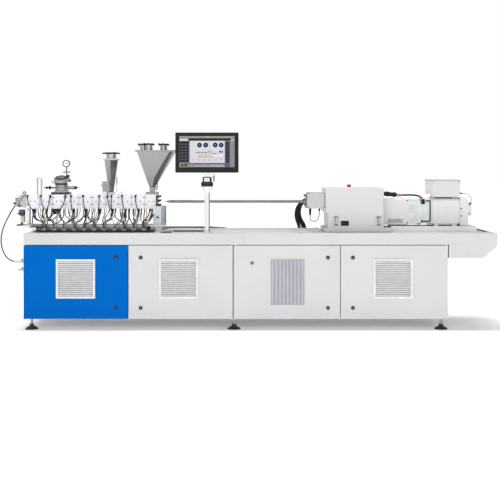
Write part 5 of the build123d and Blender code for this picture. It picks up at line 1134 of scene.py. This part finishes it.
def make_hopper_fittings():
    """Knobs, clamps and rims on both hoppers, and the oiler on the main hopper's flange."""
    knob = [(0, 0), (5, 0), (5, 6), (9, 9), (9, 16), (6, 18), (0, 18)]
    oiler = [(0, 0), (9, 0), (13, 5), (13, 34), (9, 42), (9, 46), (0, 46)]
    shapes = [
        (turned(knob, 24), standing((-1172, -20, 1457)), BLACK_PLASTIC),
        (disc(3, 24, 0.5, 16), standing((-803, -42, 1126)), TURNED_STEEL),
        (turned(oiler, 28), standing((-803, -42, 1150)), OILER_PLASTIC),
        (disc(10, 8, 1), standing((-803, -42, 1196)), BLACK_PLASTIC),
        (block((-1270, -57, 1405), (-1130, 57, 1410), 1), HERE, HOPPER_STEEL),
        (block((-1276, -14, 1458), (-1250, 14, 1470), 3), HERE, BLACK_PLASTIC),
        (block((-1150, -14, 1458), (-1124, 14, 1470), 3), HERE, BLACK_PLASTIC),
        (ring(13.6, 12.6, 4, 0.3), standing((-803, -42, 1176)), TURNED_STEEL),
    ]
    for x in (-886, -802):
        for y in (-44, 44):
            if (x, y) != (-802, -44):
                shapes.append((cap_screw(4.5, 6), standing((x, y, 1126)), BLACK_STEEL))
    for x, y in ((-925, 40), (-866, -70), (-745, 0)):
        shapes.append((ring(37, 26.5, 8, 2), standing((x, y, 1540)), BLACK_PLASTIC))
        shapes.append((block((x - 47, y - 7, 1530), (x - 33, y + 7, 1552), 4), HERE, BLACK_PLASTIC))
        shapes.append((block((x + 33, y - 7, 1530), (x + 47, y + 7, 1548), 4), HERE, BLACK_PLASTIC))
        shapes.append((disc(6, 12, 2, 20), standing((x - 8, y - 20, 1544)), TURNED_STEEL))
    for x in (-955, -905, -700, -664):
        shapes.append((cap_screw(5, 5), standing((x, -158, 1489)), TURNED_STEEL))
    piece("hopper_fittings", "barrel_carriage", "black_plastic", shapes)


# Cabinet and bench


def make_latches():
    """A round black lock on each of the doors' latch seats, and the ring by door 3's edge."""
    profile = [(0, 0), (15.5, 0), (15.5, 4.8), (14, 6.6), (10, 7.3), (9, 6.4), (0, 6.4)]
    for number, x in enumerate((-1108, -902, 643, 849), 1):
        shapes = []
        for z in LOCK_HEIGHTS:
            face = standing((x, DOOR_FACE, z), (0, -1, 0))
            shapes.append((turned(profile), face, BLACK_PLASTIC))
            shapes.append((block((-1.6, -6, 6.2), (1.6, 6, 7.4), 0.4), face, TURNED_STEEL))
        piece(f"door_{number}_locks", f"door_{number}_leaf", "black_plastic", shapes)
    shapes = [
        (ring(17, 13, 3, 1), standing((17, DOOR_FACE, 552), (0, -1, 0)), TURNED_STEEL),
        (disc(12.6, 2, 0.5), standing((17, DOOR_FACE, 552), (0, -1, 0)), GREY_PLASTIC),
    ]
    piece("door_3_plug", "door_3_leaf", "bright_steel", shapes)


def make_filters():
    """Filter fleece behind the louvres, and a pleated pane over the vent of door 3."""
    for number, x in ((1, -1439), (2, -589), (4, 1180)):
        fleece = block((x - FLEECE_HALF, DOOR_FACE + 0.4, GRILLE_HEIGHT - FLEECE_HALF),
                       (x + FLEECE_HALF, DOOR_FACE + 3.8, GRILLE_HEIGHT + FLEECE_HALF), 0.8)
        piece(f"door_{number}_filter", f"door_{number}_leaf", "grille_white", [(fleece, HERE, FILTER_FLEECE)])
    shapes = [
        (pleats(208, 581), HERE, PLEATED_FLEECE),
        (block((PANE_LEFT - 1, -405.2, 189), (PANE_RIGHT + 1, -399.8, 207.6), 1), HERE, DOOR_GREY),
    ]
    piece("door_3_filter", "door_3_leaf", "grille_white", shapes)


def pleats(low, high):
    """A pane of upright round pleats that stands on the vent's plate."""
    plate, steps = DOOR_FACE - 4, 10 * PANE_PLEATS
    corners = [(PANE_RIGHT, plate + 0.2, low), (PANE_LEFT, plate + 0.2, low)]
    for number in range(steps + 1):
        depth = 2.0 - 1.6 * math.cos(2 * math.pi * PANE_PLEATS * number / steps)
        corners.append((PANE_LEFT + (PANE_RIGHT - PANE_LEFT) * number / steps, plate - depth, low))
    return raised(corners, (0, 0, high - low))


def tapered_strip(low, high, end):
    """A block whose top slopes down to a low end on the right."""
    shape = block(low, high)
    slope = (high[2] - low[2] - end) / (high[0] - low[0])
    for corner in shape.verts:
        if corner.co.z > low[2] + 0.1:
            corner.co.z -= slope * (corner.co.x - low[0])
    return shape


def make_deck_fittings():
    """The seam in the deck's front, the strips along its back edge, the pads and plates on its top, and a grey
    strip of painted shade down the monitor post's right side.
    """
    shapes = [
        (block((-50.6, -400.6, 704), (-49.4, -398, 796)), HERE, GREY_PLASTIC),
        (block((-1866, 378, DECK_TOP), (-380, 392, DECK_TOP + 14), 1), HERE, BLACK_STEEL),
        (tapered_strip((-380, 378, DECK_TOP), (-217, 392, DECK_TOP + 14), 6), HERE, BLACK_STEEL),
        (block((369, -96, DECK_TOP), (470, -60, 799.6), 1), HERE, BLACK_PLASTIC),
        (block((-745, -330, DECK_TOP), (-655, -184, 801), 1.5), HERE, BLACK_PLASTIC),
        (block((-650, -171, DECK_TOP), (-382, -163, 807), 1), HERE, BLACK_PLASTIC),
        (block((-438, -120, DECK_TOP), (-416, 60, 801), 1), HERE, BLACK_PLASTIC),
        (block((1980, -186, DECK_TOP), (2006, 294, 801), 1), HERE, BLACK_PLASTIC),
        # Painted shade: a thin grey strip that stands in for the shade down the monitor post's right side.
        (block((-338, -370, 802), (-333.4, -354, 1128), 1), HERE, GREY_PLASTIC),
    ]
    for x in (-1860, 590):
        for y in (-135, 135):
            shapes.append((cap_screw(7, 6), standing((x + (10 if x < 0 else -10), y, 812)), TURNED_STEEL))
    piece("deck_fittings", "machine", "black_steel", shapes)


# Drive


def make_hood_fittings():
    """A blank plate, a red filler cap, and dark grips over the handles' ends."""
    shapes = [
        (block((764, -241.6, 850), (831, -240, 893), 0.5), HERE, BLACK_PLASTIC),
        (disc(20, 3, 1), standing((850, -60, 1170)), TURNED_STEEL),
        (turned([(0, 0), (17, 0), (17, 18), (14, 23), (0, 23)], 24), standing((850, -60, 1173)), RED_PLASTIC),
    ]
    for x in (768, 827):
        for z in (854, 889):
            shapes.append((disc(1.6, 0.8, 0.3, 12), standing((x, -241.6, z), (0, -1, 0)), TURNED_STEEL))
    for x in (723, 1082):
        for z in (857, 925):
            shapes.append((block((x - 19, -247.5, z - 3), (x + 19, -240, z + 3), 1.2), HERE, BLACK_STEEL))
    piece("hood_fittings", "machine", "hood_paint", shapes)


def make_junction_fittings():
    """The junction box's lid with its screws, and the gland nuts on its left side."""
    shapes = [
        (block((484, -235.5, 999), (624, -231.5, 1131), 2), HERE, BOX_ENAMEL),
        (block((476, -215, 1002), (482, -150, 1128), 2), HERE, GREY_PLASTIC),
    ]
    for x in (493, 615):
        for z in (1008, 1122):
            shapes.append((cap_screw(4.5, 2.5), standing((x, -235.5, z), (0, -1, 0)), BLACK_STEEL))
    cap = [(0, 0), (10, 0), (10, 4), (7, 14), (0, 15)]
    for z in (1029, 1069, 1107):
        shapes.append((hex_nut(22, 7), standing((480, -182, z), (-1, 0, 0)), BLACK_PLASTIC))
        shapes.append((turned(cap, 24), standing((468, -182, z), (-1, 0, 0)), BLACK_PLASTIC))
    piece("junction_fittings", "machine", "grey_plastic", shapes)


def make_drive_fittings():
    """Bolts on the drive's flanges, connector nuts, the terminal box's lid line and the lantern's small grille."""
    shapes = []
    for x, half, z_reach in ((1135, 111, 94), (1341, 111, 94)):
        for z in (-z_reach, z_reach):
            shapes.append((cap_screw(5.5, 6), standing((x, -half, 964 + z), (0, -1, 0)), BLACK_STEEL))
    for z in (991, 928):
        shapes.append((cap_screw(6, 7), standing((1803, -118, z), (0, -1, 0)), BLACK_STEEL))
    for z in (1076 - 12, 852 + 12):
        for x in (1451, 1537):
            shapes.append((cap_screw(5, 5), standing((x, -112, z), (0, -1, 0)), BLACK_STEEL))
    for z in (945, 1021):
        shapes.append((hex_nut(20, 8), standing((1876, -118, z), (0, -1, 0)), TURNED_STEEL))
    for x in (1568, 1780):
        for y in (-118, 118):
            shapes.append((cap_screw(8, 9), standing((x, y * 0.8, 842 + 4)), BLACK_STEEL))
    shapes.append((block((1549.5, -151.5, 1228), (1788.5, 227, 1231), 1), HERE, GREY_PLASTIC))
    shapes.append((block((1553, -148, 1090), (1785, -24, 1114), 2), HERE, TERMINAL_ENAMEL))
    shapes.append((block((1164, -106, 862), (1312, -104.5, 910)), HERE, GREY_PLASTIC))
    for x in range(1172, 1308, 10):
        shapes.append((block((x, -108, 866), (x + 5, -106, 906)), HERE, LOUVRE_PLASTIC))
    for x in (1562, 1776):
        shapes.append((cap_screw(4, 2.5), standing((x, -150, 1219), (0, -1, 0)), BLACK_STEEL))
    piece("drive_fittings", "machine", "black_steel", shapes)


# Monitor


SCREEN_LEFT, SCREEN_TOP = -585.5, 1600
SCREEN_WIDE, SCREEN_HIGH = 459, 258


class Picture:
    """The process picture on the screen, built of thin areas that each have their own tint."""

    def __init__(self):
        self.shape = bmesh.new()
        self.tint = self.shape.loops.layers.float_color.new("tint")

    def tinted(self, verts, colour):
        colour = shade(colour, 0.66)
        for face in {face for vert in verts for face in vert.link_faces}:
            for corner in face.loops:
                corner[self.tint] = colour

    def area(self, left, top, right, bottom, colour, lift):
        """A rectangle from shares of the screen's width and height."""
        low = Vector((SCREEN_LEFT + left * SCREEN_WIDE, -382.1 - lift, SCREEN_TOP - bottom * SCREEN_HIGH))
        high = Vector((SCREEN_LEFT + right * SCREEN_WIDE, -382.0 - lift, SCREEN_TOP - top * SCREEN_HIGH))
        verts = bmesh.ops.create_cube(self.shape, size=1)["verts"]
        bmesh.ops.scale(self.shape, vec=high - low, verts=verts)
        bmesh.ops.translate(self.shape, vec=(low + high) / 2, verts=verts)
        self.tinted(verts, colour)

    def spot(self, across, down, radius, colour, lift):
        """A round spot, its radius in millimetres."""
        middle = (SCREEN_LEFT + across * SCREEN_WIDE, -382.05 - lift, SCREEN_TOP - down * SCREEN_HIGH)
        verts = bmesh.ops.create_cone(self.shape, cap_ends=True, segments=28, radius1=radius, radius2=radius,
                                      depth=0.1, matrix=standing(middle, (0, -1, 0)))["verts"]
        self.tinted(verts, colour)


def make_screen():
    """A plain process view: key columns at the sides, four dials, a line of vessels and boxes of values."""
    view = Picture()
    dark, light, panel = srgb(28, 27, 34), srgb(198, 194, 190), srgb(236, 233, 240)
    view.area(0, 0, 1, 1, srgb(122, 122, 126), 0)
    view.area(0, 0, 1, 0.055, srgb(172, 168, 166), 0.1)
    view.area(0.46, 0.012, 0.55, 0.045, srgb(188, 190, 140), 0.2)
    view.area(0.78, 0.012, 0.86, 0.045, srgb(200, 170, 166), 0.2)
    view.area(0.17, 0.075, 0.93, 0.13, dark, 0.1)
    view.area(0.005, 0.08, 0.16, 0.15, srgb(232, 230, 232), 0.1)
    view.area(0, 0.16, 0.175, 0.85, srgb(92, 92, 98), 0.1)
    for row in range(7):
        for column in range(3):
            left, top = 0.012 + 0.055 * column, 0.18 + 0.095 * row
            view.area(left, top, left + 0.043, top + 0.062, dark, 0.2)
    view.area(0, 0.86, 0.175, 1, srgb(150, 156, 138), 0.1)
    view.area(0.03, 0.9, 0.075, 0.97, srgb(62, 84, 52), 0.2)
    view.area(0.09, 0.89, 0.145, 0.97, srgb(50, 92, 44), 0.2)
    view.area(0.19, 0.155, 0.82, 0.86, panel, 0.1)
    for across in (0.366, 0.478, 0.649, 0.756):
        view.spot(across, 0.287, 20, srgb(26, 26, 52), 0.2)
        view.spot(across, 0.287, 12, srgb(50, 52, 84), 0.3)
        view.spot(across, 0.287, 4.5, srgb(176, 178, 196), 0.4)
    view.area(0.3, 0.512, 0.6, 0.522, srgb(86, 82, 92), 0.2)
    for across in (0.312, 0.357, 0.416, 0.475):
        view.spot(across, 0.517, 5.5, srgb(74, 72, 84), 0.3)
    view.area(0.52, 0.46, 0.6, 0.515, srgb(206, 206, 206), 0.2)
    view.area(0.335, 0.56, 0.6, 0.7, srgb(216, 210, 196), 0.2)
    for left in (0.345, 0.4, 0.455, 0.51, 0.555):
        view.area(left, 0.58, left + 0.035, 0.63, srgb(238, 234, 222), 0.3)
    view.area(0.61, 0.545, 0.665, 0.57, srgb(104, 106, 84), 0.2)
    view.spot(0.739, 0.5, 9, srgb(62, 42, 158), 0.2)
    view.area(0.765, 0.46, 0.79, 0.54, srgb(128, 112, 204), 0.2)
    for left in (0.62, 0.72):
        view.area(left, 0.6, left + 0.07, 0.66, srgb(252, 252, 254), 0.2)
        view.area(left, 0.69, left + 0.085, 0.7, srgb(158, 146, 206), 0.2)
    for row in range(2):
        for left in (0.22, 0.32, 0.42, 0.52, 0.62, 0.72):
            view.area(left, 0.74 + 0.05 * row, left + 0.07, 0.76 + 0.05 * row, srgb(206, 200, 220), 0.2)
    view.area(0.19, 0.865, 0.82, 0.895, srgb(96, 96, 100), 0.1)
    view.area(0.185, 0.91, 0.815, 0.985, srgb(184, 186, 184), 0.1)
    for left in (0.2, 0.33, 0.46):
        view.area(left, 0.925, left + 0.11, 0.97, srgb(160, 164, 160), 0.2)
    view.area(0.835, 0.17, 0.905, 0.85, srgb(52, 50, 66), 0.1)
    for row in range(9):
        view.area(0.845, 0.19 + 0.07 * row, 0.895, 0.225 + 0.07 * row, srgb(84, 84, 108), 0.2)
    view.area(0.915, 0.09, 0.995, 0.985, srgb(150, 154, 150), 0.1)
    view.area(0.93, 0.08, 0.995, 0.15, light, 0.2)
    view.area(0.83, 0.87, 0.91, 0.985, srgb(104, 100, 124), 0.1)
    bmesh.ops.scale(view.shape, vec=(MM, MM, MM), verts=view.shape.verts)
    settle("screen_picture", "monitor_head", view.shape, [SCREEN_PICTURE], ["monitor_screen"])


def make_monitor_fittings():
    """A rubber band on the swivel's ring, its clamp lever, and the clamp's plate with its pin."""
    shapes = [
        (ring(51, 49.3, 12, 0.5), standing((-356, -350, 1195)), BLACK_PLASTIC),
        (block((-304, -366, 1224), (-295, -334, 1278), 3), HERE, BLACK_PLASTIC),
        (block((-379, -393, 1224), (-333, -386, 1256), 3), HERE, POST_ENAMEL),
        (disc(6, 3, 1), standing((-356, -393, 1240), (0, -1, 0)), TURNED_STEEL),
    ]
    piece("monitor_fittings", "monitor_head", "black_plastic", shapes)


# Floor and light


def make_floor():
    """A wide pale floor, lit up away from the machine and plain under it, so that its shade shows there."""
    shape = bmesh.new()
    bmesh.ops.create_grid(shape, x_segments=1, y_segments=1, size=80)
    mesh = bpy.data.meshes.new("pale_floor")
    shape.to_mesh(mesh)
    shape.free()
    paper = Finish("pale_paper")
    tree = paper.tree
    soiled = paper.soiled(srgb(250, 250, 250), srgb(244, 244, 244), 0.4, 0.5)
    apart = node(tree, "ShaderNodeSeparateXYZ", Vector=paper.place).outputs
    beside = calculate(tree, "ABSOLUTE", calculate(tree, "SUBTRACT", apart["X"], 0.14))
    beside = calculate(tree, "MULTIPLY_ADD", beside, 2.0, -3.9)
    behind = calculate(tree, "SUBTRACT", apart["Y"], 0.7)
    before = calculate(tree, "MULTIPLY_ADD", apart["Y"], -3.0, -1.13)
    away = calculate(tree, "MAXIMUM", beside, calculate(tree, "MAXIMUM", behind, before))
    away = ranged(tree, away, 0.0, 0.8, 0.0, 1.0)
    paper.set(Base_Color=soiled["Colour"], Roughness=0.9, Emission_Strength=0.8,
              Emission_Color=blended(tree, away, srgb(112, 112, 112), srgb(250, 250, 250)))
    mesh.materials.append(paper.material)
    floor = bpy.data.objects.new("pale_floor", mesh)
    bpy.context.scene.collection.objects.link(floor)


def light_panel(name, place, aim, width, height, power):
    """A large soft light that looks at a point, in metres."""
    panel = bpy.data.lights.new(name, "AREA")
    panel.shape = "RECTANGLE"
    panel.size, panel.size_y = width, height
    panel.energy = power
    lamp = bpy.data.objects.new(name, panel)
    lamp.location = place
    lamp.rotation_mode = "QUATERNION"
    lamp.rotation_quaternion = (Vector(aim) - Vector(place)).to_track_quat("-Z", "Y")
    bpy.context.scene.collection.objects.link(lamp)


def light_studio():
    """Soft white light from all round, stronger from the upper left, with a plain white background."""
    scene = bpy.context.scene
    world = bpy.data.worlds.new("studio")
    scene.world = world
    world.use_nodes = True
    tree = world.node_tree
    tree.nodes.clear()
    toward = node(tree, "ShaderNodeTexCoord").outputs["Generated"]
    right = node(tree, "ShaderNodeSeparateXYZ", Vector=toward).outputs["X"]
    room = node(tree, "ShaderNodeBackground", Color=(1, 1, 1, 1), Strength=ranged(tree, right, -1.0, 1.0, 0.6, 0.2))
    backdrop = node(tree, "ShaderNodeBackground", Color=(1, 1, 1, 1), Strength=1.0)
    seen = node(tree, "ShaderNodeLightPath").outputs["Is Camera Ray"]
    mix = tree.nodes.new("ShaderNodeMixShader")
    feed(tree, mix.inputs[0], seen)
    feed(tree, mix.inputs[1], room.outputs[0])
    feed(tree, mix.inputs[2], backdrop.outputs[0])
    output = tree.nodes.new("ShaderNodeOutputWorld")
    feed(tree, output.inputs["Surface"], mix.outputs[0])
    light_panel("key_light", (-1.9, -7.6, 3.6), (-0.4, 0, 0.9), 5.5, 3.0, 146)
    light_panel("fill_light", (4.5, -6.5, 2.8), (1.2, 0, 0.8), 3.0, 3.0, 73)
    light_panel("top_light", (0, 0.6, 5.0), (0, 0.2, 0.8), 6.0, 2.5, 220)
    scene.view_settings.view_transform = "Standard"


set_up_camera()
make_hose()
make_conduits()
make_heater_leads()
make_barrel_lines()
make_sensor_leads()
make_drive_cables()
make_probe_lead()
finish_cad_nodes()
soften_cad_edges()
make_heater_plugs()
make_cover_skirts()
make_cover_screws()
make_barrel_fittings()
make_screws()
make_vent_fittings()
make_gauge()
make_hopper_shade_sheet()
make_hopper_fittings()
make_latches()
make_filters()
make_deck_fittings()
make_hood_fittings()
make_junction_fittings()
make_drive_fittings()
make_screen()
make_monitor_fittings()
make_floor()
light_studio()
